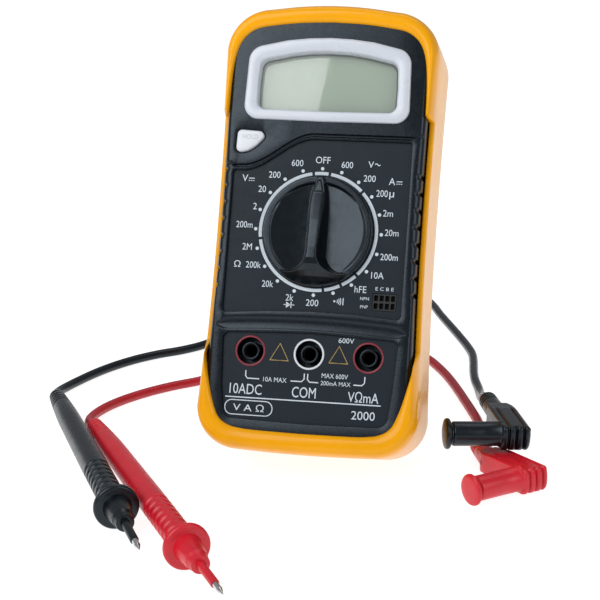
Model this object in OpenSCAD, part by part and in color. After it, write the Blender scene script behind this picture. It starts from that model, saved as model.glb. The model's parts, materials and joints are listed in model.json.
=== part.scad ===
// Handheld digital multimeter in a rubber holster, leaning back on its tilt stand,
// with its two test leads lying on the same surface.
// The meter is drawn in its own frame: X across, Y up the face and Z out of the face,
// with the origin on the selector's axis at the dial label's surface.
// on_meter() stands that frame up in the row frame: +Z up and the face towards -Y.

/* [Meter] */
// Angle that the meter leans back from upright, in degrees
lean = 22; // [18:1:26]
// Height of the selector's axis above the surface, at the dial label
knob_height = 77.9; // [77.5:0.1:79]
// Distance from the origin to the selector's axis, towards the back
knob_y = -17.5; // [-19:0.1:-16]

/* [Casing] */
// Half of the casing's width at its waist
case_half_width = 32.3; // [31.5:0.1:32.5]
// Top of the casing, above the selector's axis
case_top = 71.3; // [70:0.1:72]
// Bottom of the casing, below the selector's axis
case_bottom = 68.2; // [67:0.1:69]
// Depth of the casing's back behind the dial label
case_back = 30.4; // [30:0.1:32]
// Depth of the joint between the two casing halves
case_joint = 15; // [14:0.5:16]
// Thickness of the casing's walls
case_wall = 1.8; // [1.6:0.1:2]
// Height of the casing's rim above the dial label
case_rim = 0.9; // [0.6:0.1:1]

/* [Holster] */
// Half of the holster's width at its waist
holster_half_width = 34.3; // [34:0.1:36]
// Top of the holster, above the selector's axis
holster_top = 74.5; // [74:0.1:76]
// Bottom of the holster, below the selector's axis
holster_bottom = 71.4; // [71.2:0.1:72]
// Depth of the holster's back behind the dial label
holster_back = 34.5; // [34.4:0.1:36]
// Height of the holster's lip above the dial label
lip_top = 2.6; // [2:0.1:3]
// Height of the side walls, below the dial label
side_wall_drop = 4.3; // [3.5:0.1:6]

/* [Stand] */
// Height of the stand's hinge above the selector's axis
hinge_y = 33; // [30:1:34]
// Length of the stand from its hinge to its foot
stand_length = 98; // [97.6:0.1:99]
// Half of the stand's width
stand_half_width = 24; // [20:1:25]

/* [Selector] */
// Radius of the selector knob
knob_radius = 17.8; // [16:0.1:18]
// Height of the knob's grip above the dial label
knob_top = 9.4; // [8:0.1:10]
// Number of switch positions
positions = 20; // [20:1:20]

/* [Jacks] */
// Distance between neighbouring jacks
jack_pitch = 19.05; // [19.05:0.01:19.05]
// Distance of the jack row below the selector's axis
jack_row = 39.3; // [39:0.1:40]
// Radius of the jack's contact bore
jack_bore = 2; // [2:0.1:2]

/* [Leads] */
// Diameter of the cable
cable_diameter = 3.4; // [3.2:0.1:3.6]
// Length of a probe from its tail to its tip
probe_length = 146; // [140:1:150]
// Radius of the probe's finger guard
guard_radius = 7; // [6.8:0.1:7]
// Middle radius of the coils of spare cable
coil_radius = 17.5; // [17.5:0.5:20]

/* [Hidden] */
$fn = 64;
eps = 0.01;

// colours
holster_yellow = "#f5a800";
case_black = "#2b3035";
knob_black = "#1d2023";
lead_black = "#26292b";
lead_red = "#cf1f2e";

// outlines of the casing and of the holster
flare_low = 0.00044;  // the sides stand out by this much times the square of the height
flare_high = 0.0002;  // and by less above the selector
arch_top = 240;       // twice the radius of the arched top edge
arch_bottom = 900;    // twice the radius of the bottom edge
fit_gap = 0.1;        // between parts that sit in each other
case_floor = -1.5;    // inner surface of the casing's front wall
label_bed = -0.3;     // bed that the labels lie on
board_front = -7.4;
board_back = -9;

// stand
stand_thick = 2.4;
stand_axis = [hinge_y, -(holster_back - stand_thick / 2 - 0.1)];
hinge_z = knob_height + stand_axis[0] * cos(lean) + stand_axis[1] * sin(lean);
stand_angle = acos(hinge_z / stand_length) + lean;   // between the stand and the back

// selector
hub_radius = 6.5;
hub_gap = 0.08;
detent_crest = 9.4;
detent_level = -2.6;

// hold button
hold_corners = [[-26.8, 30.3], [-21.1, 30], [-26.9, 26.1]];
hold_corner_radius = 1.5;
hold_middle = [-24, 28.4];

// display
lcd_size = [48, 24];
lcd_middle = [0, 48.5];

socket_middle = [22.9, -21.5];
socket_size = [7.6, 5.4];

board_screw_places = [[-24, 19], [24, 19], [-24, -30], [24, -30], [0, -53.5]];
case_screw_places = [[-26, -61], [26, -61], [-25.5, 62.5], [25.5, 62.5]];
jack_places = [for (i = [-1:1]) [i * jack_pitch, -jack_row]];

// leads: where the middle of the plug's head is, how it lies (pitch about the pin, rise of
// the pin, turn), and how its strain relief dips and bends
cable_radius = cable_diameter / 2;
plug_black_at = [65.1, -16.3, 13.5];
plug_black_pose = [1.2, -2.6, 197.9];
relief_black_bend = [0, 0];
plug_red_at = [71, -30.5, 5.3];
plug_red_pose = [4, 0.5, 221];
relief_red_bend = [1.5, -22];
probe_black_tail = [-102.5, 14.6, 3.4];
probe_black_turn = -61.2;
probe_red_tail = [-79.6, -11, 3.4];
probe_red_turn = -58.2;
guard_at = 112;       // distance of the finger guard from the probe's tail
probe_rise = asin((guard_radius + 0.05 - 3.4) / guard_at);
function probe_way(turn) = [cos(probe_rise) * cos(turn), cos(probe_rise) * sin(turn), sin(probe_rise)];

// coils of spare cable: they lie behind the meter
coil_black_at = [-30, 133];
coil_red_at = [-17, 86];
coil_height = 2 * cable_diameter;

// cable routes, from the plug to the coil and from the coil to the probe
route_black_plug = [[53.2, 16.1, 12.8], [51.5, 24, 10.9], [50.3, 33, 7.3], [49.2, 42, 4],
    [48, 50, 2.3], [46.6, 58, 1.8], [44.3, 68, 1.8], [42.9, 78, 1.8], [41.9, 88, 1.8], [40.4, 98, 1.8],
    [37.4, 108, 1.8], [33.6, 118.5, 1.8], [29.6, 129, 1.8], [25.5, 139.5, 1.8],
    [21.5, 150, 1.8], [18, 160, 1.8], [13.6, 169, 1.8], [6, 175, 1.8], [-4, 174.5, 1.8],
    [-13, 168, 1.8], [-20.5, 160.5, 1.8], [-29, 154.5, 1.8]];
route_black_probe = [[-47.9, 143.2, 4.6], [-51.5, 133, 3.2], [-55, 122, 2], [-58.4, 111, 1.8],
    [-62, 100, 1.8], [-66.8, 88.5, 1.8], [-73.5, 80, 1.8], [-81, 73.5, 1.8],
    [-88, 65.5, 1.8], [-94, 56, 1.8], [-98.6, 46, 1.8], [-102, 36, 1.8],
    [-104.2, 27, 2], [-104.4, 20.5, 2.6], probe_black_tail,
    for (s = [4, 12, 86]) probe_black_tail + s * probe_way(probe_black_turn)];
route_red_plug = [[52.1, -2.7, 3.3], [52.1, 5.5, 2.3], [51.6, 14, 1.8], [49.4, 24, 1.8],
    [46.4, 33.5, 1.8], [43.2, 43, 1.8], [40, 52.5, 1.8], [36.6, 62, 1.8],
    [33, 71, 1.8], [29, 79.5, 1.8], [24.6, 87.5, 1.8], [19, 94.5, 1.8], [11.5, 100.5, 1.8],
    [2.5, 104.6, 1.8], [-7, 106.4, 1.8], [-16, 107, 1.8]];
route_red_probe = [[-34.2, 97.4, 4.6], [-38.5, 87, 3.2], [-42.5, 76, 2], [-46.2, 66, 1.8],
    [-50.6, 55.5, 1.8], [-57, 46, 1.8], [-65, 38.5, 1.8], [-72, 30.5, 1.8],
    [-78, 21.5, 1.8], [-82.4, 12, 1.8], [-84.5, 2.5, 1.8], [-83.4, -5.5, 2.4], probe_red_tail,
    for (s = [4, 12, 86]) probe_red_tail + s * probe_way(probe_red_turn)];

// ---------------------------------------------------------------- helpers

module on_meter() {
    translate([0, knob_y, knob_height]) rotate([90 - lean, 0, 0]) children();
}

// points of an arc, from angle a to angle b
function arc(x, y, r, a, b, n = 6) =
    [for (i = [0:n]) let (t = a + (b - a) * i / n) [x + r * cos(t), y + r * sin(t)]];

// right half of an upright outline with an arched top and flared sides, d inside it
function flared(y) = (y < 0 ? flare_low : flare_high) * y * y;
function half_outline(w, top, bottom, rt, rb, d) = let (
    xb = w + flared(rb - bottom) - rb,
    xt = w + flared(top - rt) - rt,
    yb = -bottom + pow(xb, 2) / arch_bottom,
    yt = top - pow(xt, 2) / arch_top,
    low = yb + rb,
    high = yt - rt)
    concat(
        [for (i = [0:2]) let (x = xb * i / 3) [x, -bottom + pow(x, 2) / arch_bottom + d]],
        arc(xb, low, rb - d, -87, 0, 7),
        [for (i = [1:8]) let (y = low + (high - low) * i / 9) [w + flared(y) - d, y]],
        arc(xt, high, rt - d, 0, 80, 7),
        [for (i = [4:-1:0]) let (x = xt * i / 5) [x, top - pow(x, 2) / arch_top - d]]);

function mirrored(half) = concat(half,
    [for (i = [len(half) - 2:-1:1]) [-half[i][0], half[i][1]]]);

function case_outline(d) =
    mirrored(half_outline(case_half_width, case_top, case_bottom, 13, 11.5, d));
function holster_outline(d) =
    mirrored(half_outline(holster_half_width, holster_top, holster_bottom, 15, 13.5, d));

// a plate between two levels
module plate(points, low, high) {
    translate([0, 0, low]) linear_extrude(high - low) polygon(points);
}

// inset of a quarter-round edge of radius r, at a share t of its height
function round_inset(r, t) = r * (1 - sqrt(1 - t * t));

// rectangle with round corners around a middle point
function round_box(middle, size, r, n = 4) = let (
    x = size[0] / 2 - r, y = size[1] / 2 - r, m = middle)
    concat(arc(m[0] + x, m[1] - y, r, -90, 0, n), arc(m[0] + x, m[1] + y, r, 0, 90, n),
        arc(m[0] - x, m[1] + y, r, 90, 180, n), arc(m[0] - x, m[1] - y, r, 180, 270, n));

module post(at, r, low, high) {
    translate([at[0], at[1], low]) cylinder(r = r, h = high - low);
}

module block(middle, size, low, high) {
    translate([middle[0] - size[0] / 2, middle[1] - size[1] / 2, low])
        cube([size[0], size[1], high - low]);
}

// a profile of height against the face's Y, as wide as the meter
module across(points, width) {
    rotate([90, 0, 90]) translate([0, 0, -width / 2]) linear_extrude(width) polygon(points);
}

// ---------------------------------------------------------------- holster and stand

lip_round = 2;
back_round = 3;
edge_steps = 3;
recess_depth = stand_thick + 0.3;
floor_inside = -(case_back + fit_gap);

module holster_solid() {
    plate(holster_outline(0), -holster_back + back_round, lip_top - lip_round);
    for (i = [0:edge_steps - 1]) {
        t = (i + 0.6) / edge_steps;
        plate(holster_outline(round_inset(lip_round, t)),
            lip_top - lip_round + lip_round * i / edge_steps - eps,
            lip_top - lip_round + lip_round * (i + 1) / edge_steps);
        plate(holster_outline(round_inset(back_round, t)),
            -holster_back + back_round - back_round * (i + 1) / edge_steps,
            -holster_back + back_round - back_round * i / edge_steps + eps);
    }
}

module holster() {
    color(holster_yellow) difference() {
        on_meter() difference() {
            holster_solid();
            plate(case_outline(-fit_gap), floor_inside, case_rim + fit_gap);
            plate(mirrored(half_outline(31.4, 68, 64.8, 11, 16, 0)), 0, lip_top + 1);
            // the side walls are lower than the lips
            across([[-36, -side_wall_drop], [38, -side_wall_drop], [38, 5], [-42, 5]], 100);
            // bed of the folded stand, and its two hinge holes
            plate(round_box([0, hinge_y + 1.5 - (stand_length + 3.5) / 2],
                [2 * stand_half_width + 0.8, stand_length + 3.5], 1), -holster_back - 1,
                -holster_back + recess_depth);
            translate([-stand_half_width - 3, stand_axis[0], stand_axis[1]])
                rotate([0, 90, 0]) cylinder(r = 0.8, h = 2 * stand_half_width + 6);
        }
        // flat land that the bottom edge stands on
        translate([-60, -60, -20]) cube([120, 120, 20]);
    }
}

// the stand lies flat in the back when it is folded
module folded_stand() {
    half = stand_thick / 2;
    difference() {
        union() {
            translate([-stand_half_width, -stand_length - 3, -half])
                cube([2 * stand_half_width, stand_length + 3, stand_thick]);
            rotate([0, 90, 0]) translate([0, 0, -stand_half_width])
                cylinder(r = half, h = 2 * stand_half_width);
            rotate([0, 90, 0]) translate([0, 0, -stand_half_width - 2.6])
                cylinder(r = 0.75, h = 2 * stand_half_width + 5.2);
        }
        // shallow panel on the inner side, and grip ribs at the foot
        plate(round_box([0, -stand_length / 2 + 2], [2 * stand_half_width - 12, stand_length - 32], 5),
            half - 0.8, half + 1);
        for (i = [0:3]) translate([0, -stand_length + 3 + 2 * i, -half])
            rotate([0, 90, 0]) cylinder(r = 0.4, h = 26, center = true);
    }
}

module tilt_stand() {
    color(holster_yellow) difference() {
        on_meter() translate([0, stand_axis[0], stand_axis[1]]) rotate([stand_angle, 0, 0])
            folded_stand();
        translate([-60, -60, -20]) cube([120, 200, 20]);
    }
}

// ---------------------------------------------------------------- casing

shoulder = 1.8;
groove_depth = 0.7;

// the curved line between the display and the dial
function swoosh(x) = x < -26.5 ? 18.9 : x > -3 ? 29.7 : 24.3 - 5.4 * cos(180 * (x + 26.5) / 23.5);
swoosh_xs = concat([-29], [for (i = [0:11]) -26.5 + i * 23.5 / 11]);

function dial_outline(d) = concat(
    arc(-27.9, -26, 1.3 - d, 180, 270, 3), arc(27.3, -25.8, 1.3 - d, 270, 360, 3),
    [[28.6 - d, 29.7 - d]],
    [for (i = [len(swoosh_xs) - 1:-1:0]) [max(swoosh_xs[i], -29.2 + d), swoosh(swoosh_xs[i]) - d]]);

function jack_outline(d) = concat(
    arc(-23.2, -57.6, 3.4 - d, 190, 268, 4), arc(23.2, -57.6, 3.4 - d, 272, 350, 4),
    arc(26, -35.8, 2.2 - d, 0, 85, 4), [[12, -32.9 - d], [0, -32.6 - d], [-12, -32.9 - d]],
    arc(-26, -35.8, 2.2 - d, 95, 180, 4));

function bezel_outline(d) = concat(
    arc(-22.3, 40, 4.5 - d, 180, 270, 5), arc(22.3, 40, 4.5 - d, 270, 360, 5),
    arc(21.4, 54.9, 5.2 - d, 0, 78, 5),
    [[14, 61.8 - d], [7, 62.5 - d], [0, 62.8 - d], [-7, 62.5 - d], [-14, 61.8 - d]],
    arc(-21.4, 54.9, 5.2 - d, 102, 180, 5));

function window_outline(d) = concat(
    arc(-19.9, 41.6, 2.6 - d, 180, 270, 4), arc(19.9, 41.6, 2.6 - d, 270, 360, 4),
    arc(19.6, 52.3, 2.9 - d, 0, 76, 4),
    [[12, 57 - d], [6, 57.8 - d], [0, 58 - d], [-6, 57.8 - d], [-12, 57 - d]],
    arc(-19.6, 52.3, 2.9 - d, 104, 180, 4));

// outline of the hold button: three rounded corners with slightly bowed sides
function hold_outline(grow) = let (c = hold_corners, r = hold_corner_radius + grow) concat(
    arc(c[0][0], c[0][1], r, 90, 180, 4), arc(c[2][0], c[2][1], r, 180, 285, 4),
    [[-24, 25.4 - grow * 0.8], [-22, 26.8 - grow * 0.7]],
    arc(c[1][0], c[1][1], r, -35, 88, 5));

// ribbed grip on both shoulders
module grip_notches() {
    for (side = [-1, 1], i = [0:7])
        translate([side * (case_half_width + 0.2), 19 - 5.4 * i, -5.5])
            cylinder(r = 0.7, h = 8, $fn = 16);
}

module front_casing() {
    color(case_black) on_meter() difference() {
        union() {
            difference() {
                union() {
                    plate(case_outline(0), -case_joint, case_rim - shoulder);
                    for (i = [0:edge_steps - 1])
                        plate(case_outline(round_inset(shoulder, (i + 0.6) / edge_steps)),
                            case_rim - shoulder + shoulder * i / edge_steps - eps,
                            case_rim - shoulder + shoulder * (i + 1) / edge_steps);
                }
                plate(case_outline(case_wall), -case_joint - 1, case_floor);
                grip_notches();
            }
            for (p = board_screw_places) post(p, 2.4, board_front, case_floor + eps);
            for (p = case_screw_places) post(p, 3.2, -case_joint, case_floor + eps);
            for (p = jack_places) post(p, 5.2, -7.2, case_floor + eps);
            // ring that the selector's detent balls run in
            difference() {
                post([0, 0], 11.2, -3.4, case_floor + eps);
                post([0, 0], detent_crest, -4, case_floor + 1);
                for (i = [0:positions - 1]) rotate(i * 360 / positions)
                    translate([detent_crest, 0, -4]) cylinder(r = 0.7, h = 4, $fn = 16);
            }
        }
        plate(dial_outline(0), label_bed, 3);
        plate(jack_outline(0), label_bed, 3);
        plate(bezel_outline(-fit_gap), 0.3, 3);
        plate(bezel_outline(1.6), -0.8, 1);
        plate(window_outline(0), -3, 1);
        // groove beside the raised line, and the valley between the two panels
        for (i = [0:len(swoosh_xs) - 1]) let (
            a = swoosh_xs[i],
            b = i < len(swoosh_xs) - 1 ? swoosh_xs[i + 1] : 34)
            plate([[a - 0.05, swoosh(a) + 1.2], [b, swoosh(b) + 1.2],
                [b, swoosh(b) + 2], [a - 0.05, swoosh(a) + 2]],
                case_rim - groove_depth, 3);
        plate([for (i = [0:8]) let (x = 35 - 8.75 * i) [x, -27.9 - x * x / 640],
            for (i = [0:8]) let (x = -35 + 8.75 * i) [x, -29.9 - x * x / 640]],
            case_rim - groove_depth, 3);
        plate(hold_outline(0.25), -3, 3);
        post([0, 0], hub_radius + hub_gap, -4, 2);
        for (p = jack_places) {
            // well for a shrouded plug, round a tube that holds the contact sleeve
            difference() {
                post(p, 4.25, -6.4, 3);
                post(p, 2.95, -8, 4);
            }
            post(p, jack_bore, -3, 3);
            post(p, 2.6, -8, -2.5);
        }
        block(socket_middle, socket_size + [2 * fit_gap, 2 * fit_gap], -3, 2);
        for (p = board_screw_places) post(p, 1.05, -8, -2.4);
        for (p = case_screw_places) post(p, 1.25, -case_joint - 1, -6);
    }
}

module rear_casing() {
    back_edge = 2;
    color(case_black) on_meter() difference() {
        union() {
            difference() {
                union() {
                    plate(case_outline(0), -case_back + back_edge, -case_joint);
                    for (i = [0:1])
                        plate(case_outline(round_inset(back_edge, (i + 0.7) / 2)),
                            -case_back + back_edge - back_edge * (i + 1) / 2,
                            -case_back + back_edge - back_edge * i / 2 + eps);
                }
                plate(case_outline(case_wall), -case_back + case_wall, -case_joint + 1);
            }
            for (p = case_screw_places) post(p, 3.4, -case_back + 1, -case_joint);
            // walls that keep the battery in place
            block([0, 31.4], [54, 1.4], -case_back + 1, -12);
            for (side = [-1, 1]) block([side * 26.6, 46], [1.4, 20], -case_back + 1, -12);
        }
        for (p = case_screw_places) {
            post(p, 1.3, -case_back - 1, 0);
            post(p, 2.8, -case_back - 1, -case_back + 3);
        }
    }
}

// ---------------------------------------------------------------- display

module display_bezel() {
    color("#dfe1ee") on_meter() difference() {
        union() {
            plate(bezel_outline(0), 0.3, 1.1);
            plate(bezel_outline(0.4), 1.1 - eps, 1.5);
        }
        plate(window_outline(0), 0, 2);
    }
}

module display_window() {
    color("#cfe0d8", 0.35) on_meter() plate(bezel_outline(1.7), -0.75, 0.25);
}

module lcd_panel() {
    color("#9fb09a") on_meter() block(lcd_middle, lcd_size, -4.3, -2.1);
}

module lcd_frame() {
    color("#1a1a1a") on_meter() difference() {
        block(lcd_middle, [52.4, 28], -7.3, -1.6);
        block(lcd_middle, lcd_size + [0.2, 0.2], -8, -2);
        block(lcd_middle, [46, 22], -3, 0);
        for (p = case_screw_places) post(p, 3.4, -8, 0);
    }
}

module lcd_connector() {
    color("#d08ca0") on_meter() block([0, 38.2], [44, 2.2], board_front + 0.02, -4.32);
}

// ---------------------------------------------------------------- labels and jacks

module dial_label() {
    color("#30383e") on_meter() difference() {
        plate(dial_outline(0.05), label_bed, 0);
        post([0, 0], hub_radius + 1.2, -1, 1);
        block(socket_middle, socket_size + [2 * fit_gap, 2 * fit_gap], -1, 1);
    }
}

module jack_label() {
    color("#30383e") on_meter() difference() {
        plate(jack_outline(0.05), label_bed, 0);
        for (p = jack_places) post(p, 5.05, -1, 1);
    }
}

module jack_ring(i, shade) {
    color(shade) on_meter() difference() {
        post(jack_places[i], 5, label_bed, 0.25);
        post(jack_places[i], 4.3, -1, 1);
    }
}
module jack_ring_10a() { jack_ring(0, "#a63a4a"); }
module jack_ring_com() { jack_ring(1, "#e4e7ee"); }
module jack_ring_ma() { jack_ring(2, "#a63a4a"); }

module jack_sleeve(i) {
    color("#b08d3c") on_meter() difference() {
        post(jack_places[i], 2.55, -14.8, -2.5);
        post(jack_places[i], jack_bore, -17, 0);
    }
}
module jack_sleeve_10a() { jack_sleeve(0); }
module jack_sleeve_com() { jack_sleeve(1); }
module jack_sleeve_ma() { jack_sleeve(2); }

module transistor_socket() {
    color("#17191b") on_meter() difference() {
        block(socket_middle, socket_size, board_front + 0.05, 0.15);
        for (i = [0:3], j = [0:1])
            translate([socket_middle[0] - 2.7 + 1.8 * i, socket_middle[1] - 1.2 + 2.4 * j, -4])
                cylinder(r = 0.5, h = 6, $fn = 16);
    }
}

// ---------------------------------------------------------------- selector

// plan of the grip: a narrow pointer that widens into a broad tail
grip_right = concat([[1.5, 17.2], [2.6, 13], [3, 8], [3.1, -6]],
    arc(9.2, -7.4, 6.1, 178, 250, 5));
grip_plan = concat([for (i = [len(grip_right) - 1:-1:0]) [-grip_right[i][0], grip_right[i][1]]], grip_right);
// side view of the grip: it rises from the pointer towards the tail
grip_side = [[-17.6, 1], [-17.4, 2.4], [-15.4, 6], [-12.6, 8.6], [-9.4, knob_top],
    [-6, knob_top - 0.2], [0, 7.2], [6, 4.9], [12, 3.1], [17.4, 2.2], [17.4, 1]];

module range_knob() {
    rim = 2.2;
    dish = 15.8;
    color(knob_black) on_meter() {
        difference() {
            union() {
                post([0, 0], knob_radius, 0.4, rim);
                intersection() {
                    post([0, 0], knob_radius - 0.4, 0.4, 20);
                    plate(grip_plan, 0.4, 20);
                    across(grip_side, 40);
                }
                post([0, 0], hub_radius, -1.8, 0.5);
                post([0, 0], 3.5, -5.6, -1.7);
            }
            // finger hollows on both sides of the grip
            for (side = [-1, 1]) difference() {
                post([0, 0], dish, 1.2, rim + 1);
                plate(grip_plan, 0, 20);
                translate([side > 0 ? -30 : 0, -30, 0]) cube([30, 60, 20]);
            }
        }
    }
}

module contact_rotor() {
    color("#c9c6b8") on_meter() difference() {
        union() {
            post([0, 0], 8.4, -3.4, -1.8);
            post([0, 0], 13.5, -6, -3.5);
            post([0, 0], 8.4, -3.5, -3.39);
        }
        post([0, 0], 3.5, -8, 0);
        for (side = [0, 180]) rotate(side) translate([4.4, 0, detent_level])
            rotate([0, 90, 0]) cylinder(r = 1.05, h = 6);
    }
}

module rotor_contacts() {
    color("#c79b4b") on_meter() for (i = [0:2]) rotate(90 + 120 * i) for (k = [-1, 1])
        translate([6.5, k * 1.5 - 0.5, -7.35]) {
            translate([0, 0, 1.1]) cube([6, 1, 0.25]);
            translate([4.5, 0, 0]) cube([0.8, 1, 1.2]);
        }
}

module detent_balls() {
    color("#d5d8dc") on_meter() for (side = [0, 180]) rotate(side)
        translate([8.2, 0, detent_level]) sphere(r = 1, $fn = 32);
}

module detent_springs() {
    color("#a8abb0") on_meter() for (side = [0, 180]) rotate(side)
        translate([4.5, 0, detent_level]) rotate([0, 90, 0]) difference() {
            cylinder(r = 0.75, h = 2.6, $fn = 32);
            translate([0, 0, -1]) cylinder(r = 0.45, h = 5, $fn = 32);
        }
}

// ---------------------------------------------------------------- hold button

module hold_button() {
    color("#e6e7ee") on_meter() {
        plate(hold_outline(0), -1.75, 1.5);
        plate(hold_outline(-0.4), 1.5 - eps, 1.9);
        plate(hold_outline(0.9), -2.6, -1.75 + eps);
    }
}

module hold_plunger() {
    color("#222222") on_meter() post(hold_middle, 1.2, -5.2, -2.6);
}

module hold_switch() {
    color("#3a3a3a") on_meter() difference() {
        block(hold_middle, [6, 6], board_front, -4.4);
        post(hold_middle, 1.3, -6.6, 0);
    }
}

// ---------------------------------------------------------------- circuit board

module main_board() {
    color("#2f6b3a") on_meter() difference() {
        plate(round_box([0, 2], [54, 119], 2), board_back, board_front);
        for (p = jack_places) post(p, 2.6, -12, 0);
        for (p = board_screw_places) post(p, 1.15, -12, 0);
        for (p = case_screw_places) post(p, 3.7, -12, 0);
    }
}

module measuring_chip() {
    color("#141414") on_meter() {
        post([0, 14], 6, board_back - 1.2, board_back);
        post([0, 14], 4.6, board_back - 1.8, board_back - 1.2 + eps);
    }
}

component_rows = [
    [-14, -16], [-14, -20], [-14, -24], [14, -12], [14, -4], [14, 0], [14, 4], [-16, 4], [-16, 0]];

module board_components() {
    color("#c8a96a") on_meter() {
        for (p = component_rows) {
            translate([p[0] - 3, p[1], board_back - 1.4]) rotate([0, 90, 0])
                cylinder(r = 1.1, h = 6, $fn = 24);
            for (e = [-4, 4]) post([p[0] + e, p[1]], 0.3, board_back - 1.6, board_back);
            translate([p[0] - 4, p[1], board_back - 1.4]) rotate([0, 90, 0])
                cylinder(r = 0.3, h = 8, $fn = 16);
        }
        post([-18, 12], 2.5, board_back - 8, board_back);
    }
}

module calibration_trimmer() {
    color("#3f6fb5") on_meter() difference() {
        block([18, 16], [6.6, 6.6], board_back - 4.6, board_back);
        block([18, 16], [3, 0.6], board_back - 5, board_back - 3.8);
    }
}

buzzer_middle = [11, -50];

module buzzer() {
    color("#1c1c1c") on_meter() difference() {
        post(buzzer_middle, 6.5, board_back - 6.4, board_back);
        post(buzzer_middle, 1, board_back - 7, board_back - 5);
    }
}

fuse_middle = [14, -21];

module fuse() {
    color("#dfe8ea", 0.6) on_meter() translate([fuse_middle[0] - 10, fuse_middle[1], board_back - 4.2])
        rotate([0, 90, 0]) cylinder(r = 2.5, h = 20);
}

module fuse_clips() {
    color("#c0c4c8") on_meter() for (e = [-8, 8]) difference() {
        block([fuse_middle[0] + e, fuse_middle[1]], [3.6, 6.6], board_back - 5.2, board_back);
        translate([fuse_middle[0] + e - 3, fuse_middle[1], board_back - 4.2]) rotate([0, 90, 0])
            cylinder(r = 2.52, h = 6);
        block([fuse_middle[0] + e, fuse_middle[1]], [5, 4.4], board_back - 6, board_back - 4.2);
    }
}

module shunt_wire() {
    wire = 0.9;
    depth = board_back - 3.5;
    span = [-15.2, -3.8];
    color("#b9a878") on_meter() {
        for (x = span) post([x, -jack_row - 3.6], wire, depth, board_back);
        translate([span[0] - wire, -jack_row - 3.6, depth]) rotate([0, 90, 0])
            cylinder(r = wire, h = span[1] - span[0] + 2 * wire);
    }
}

// ---------------------------------------------------------------- battery

battery_middle = [0, 46.2];
battery_size = [48.5, 26.5];

module battery() {
    color("#2c2f36") on_meter() {
        plate(round_box(battery_middle, battery_size, 2), -28.5, -11);
        for (y = [-6.4, 6.4]) translate([battery_middle[0] + 24.2, battery_middle[1] + y, -19.7])
            rotate([0, 90, 0]) cylinder(r = 2.8, h = 1.2);
    }
}

module battery_snap() {
    color("#1a1a1a") on_meter() difference() {
        translate([24.3, battery_middle[1] - 12, -26]) cube([1.6, 24, 12.6]);
        for (y = [-6.4, 6.4]) translate([24, battery_middle[1] + y, -19.7])
            rotate([0, 90, 0]) cylinder(r = 2.9, h = 1.42);
    }
}

module battery_wire(shade, y, x_end) {
    r = 0.5;
    top = -13.4;
    color(shade) on_meter() {
        translate([25.1, y, -13.4]) cylinder(r = r, h = 3);
        translate([25.1, y, -10.4]) sphere(r = r, $fn = 24);
        translate([x_end, y, -10.4]) rotate([0, 90, 0]) cylinder(r = r, h = 25.1 - x_end);
        translate([x_end, y, -10.4]) sphere(r = r, $fn = 24);
        translate([x_end, y, -10.4]) cylinder(r = r, h = board_back + 10.4);
    }
}
module battery_wire_red() { battery_wire("#c02020", battery_middle[1] + 10, 18); }
module battery_wire_black() { battery_wire("#202020", battery_middle[1] - 10, 18); }

// ---------------------------------------------------------------- screws

module screw(at, head_low, head_high, head_r, shank_r, tip) {
    difference() {
        union() {
            post(at, head_r, head_low, head_high);
            post(at, shank_r, head_high - eps, tip);
        }
        for (a = [0, 90]) translate([at[0], at[1], head_low]) rotate(a)
            cube([head_r * 1.2, 0.5, 1], center = true);
    }
}

module board_screws() {
    color("#c9ccd1") on_meter() for (p = board_screw_places)
        screw(p, board_back - 1.4, board_back, 2.1, 1, -2.6);
}

module case_screws() {
    color("#c9ccd1") on_meter() for (p = case_screw_places)
        screw(p, -case_back + 1.2, -case_back + 3, 2.6, 1.2, -7);
}

// ---------------------------------------------------------------- test leads

// the plug lies with its pin along X and its cable leaving along -Y before it is turned
barrel_radius = 4;
barrel_end = 21;
head_low = -4.8;
head_high = 3.8;
relief_at = [1.4, -20, 0];
relief_length = 14.5;
cap_spigot = 3.5;

// plan of the head: straight on the pin's side, with a shoulder on the other, d inside
function head_plan(d) = [[-4.2 + d, -15], [-4.2 + d, 3.2], [-3.1 + d / 2, 4.5 - d], [4.2 - d / 2, 4.5 - d],
    [5.3 - d, 3.2], [5.3 - d, -19], [4.6 - d, -21], [-1.8 + d, -21]];

module place_plug(at, pose) {
    translate(at) rotate([0, 0, pose[2]]) rotate([0, pose[1], 0]) rotate([pose[0], 0, 0]) children();
}

module plug_body(at, pose, bend, shade) {
    color(shade) place_plug(at, pose) {
        difference() {
            union() {
                rotate([0, 90, 0]) cylinder(r = barrel_radius, h = barrel_end);
                plate(head_plan(0), head_low + 0.7, head_high - 0.7);
                plate(head_plan(0.6), head_low, head_high);
                // strain relief
                translate(relief_at) rotate([90 - bend[0], 0, bend[1]]) rotate_extrude()
                    polygon(concat([[0, -3], [3.2, -3]], [for (i = [0:14]) let (s = relief_length * i / 15)
                        [3.4 - 0.3 * i / 15 - (i > 8 && i % 2 == 0 ? 0.35 : 0), s]],
                        [[2.7, relief_length], [0, relief_length]]));
            }
            // shroud around the pin
            translate([7, 0, 0]) rotate([0, 90, 0]) cylinder(r = 3.1, h = 20);
            rotate([0, 90, 0]) cylinder(r = 1.3, h = 20);
            // grooves across the front of the head
            for (i = [-1:1]) translate([i * 2.5 + 0.25, 3.9, -6]) cube([0.7, 2, 12]);
            // the head tapers towards its tail underneath
            across([[-6, head_low], [-21.05, head_low + 1.38], [-21.05, -6], [-6, -6]], 12);
        }
    }
}

module plug_pin(at, pose) {
    color("#c9b06a") place_plug(at, pose) {
        rotate([0, 90, 0]) cylinder(r = 1.29, h = 7.2);
        translate([7, 0, 0]) rotate([0, 90, 0]) cylinder(r = 2, h = 11.4);
    }
}

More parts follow.
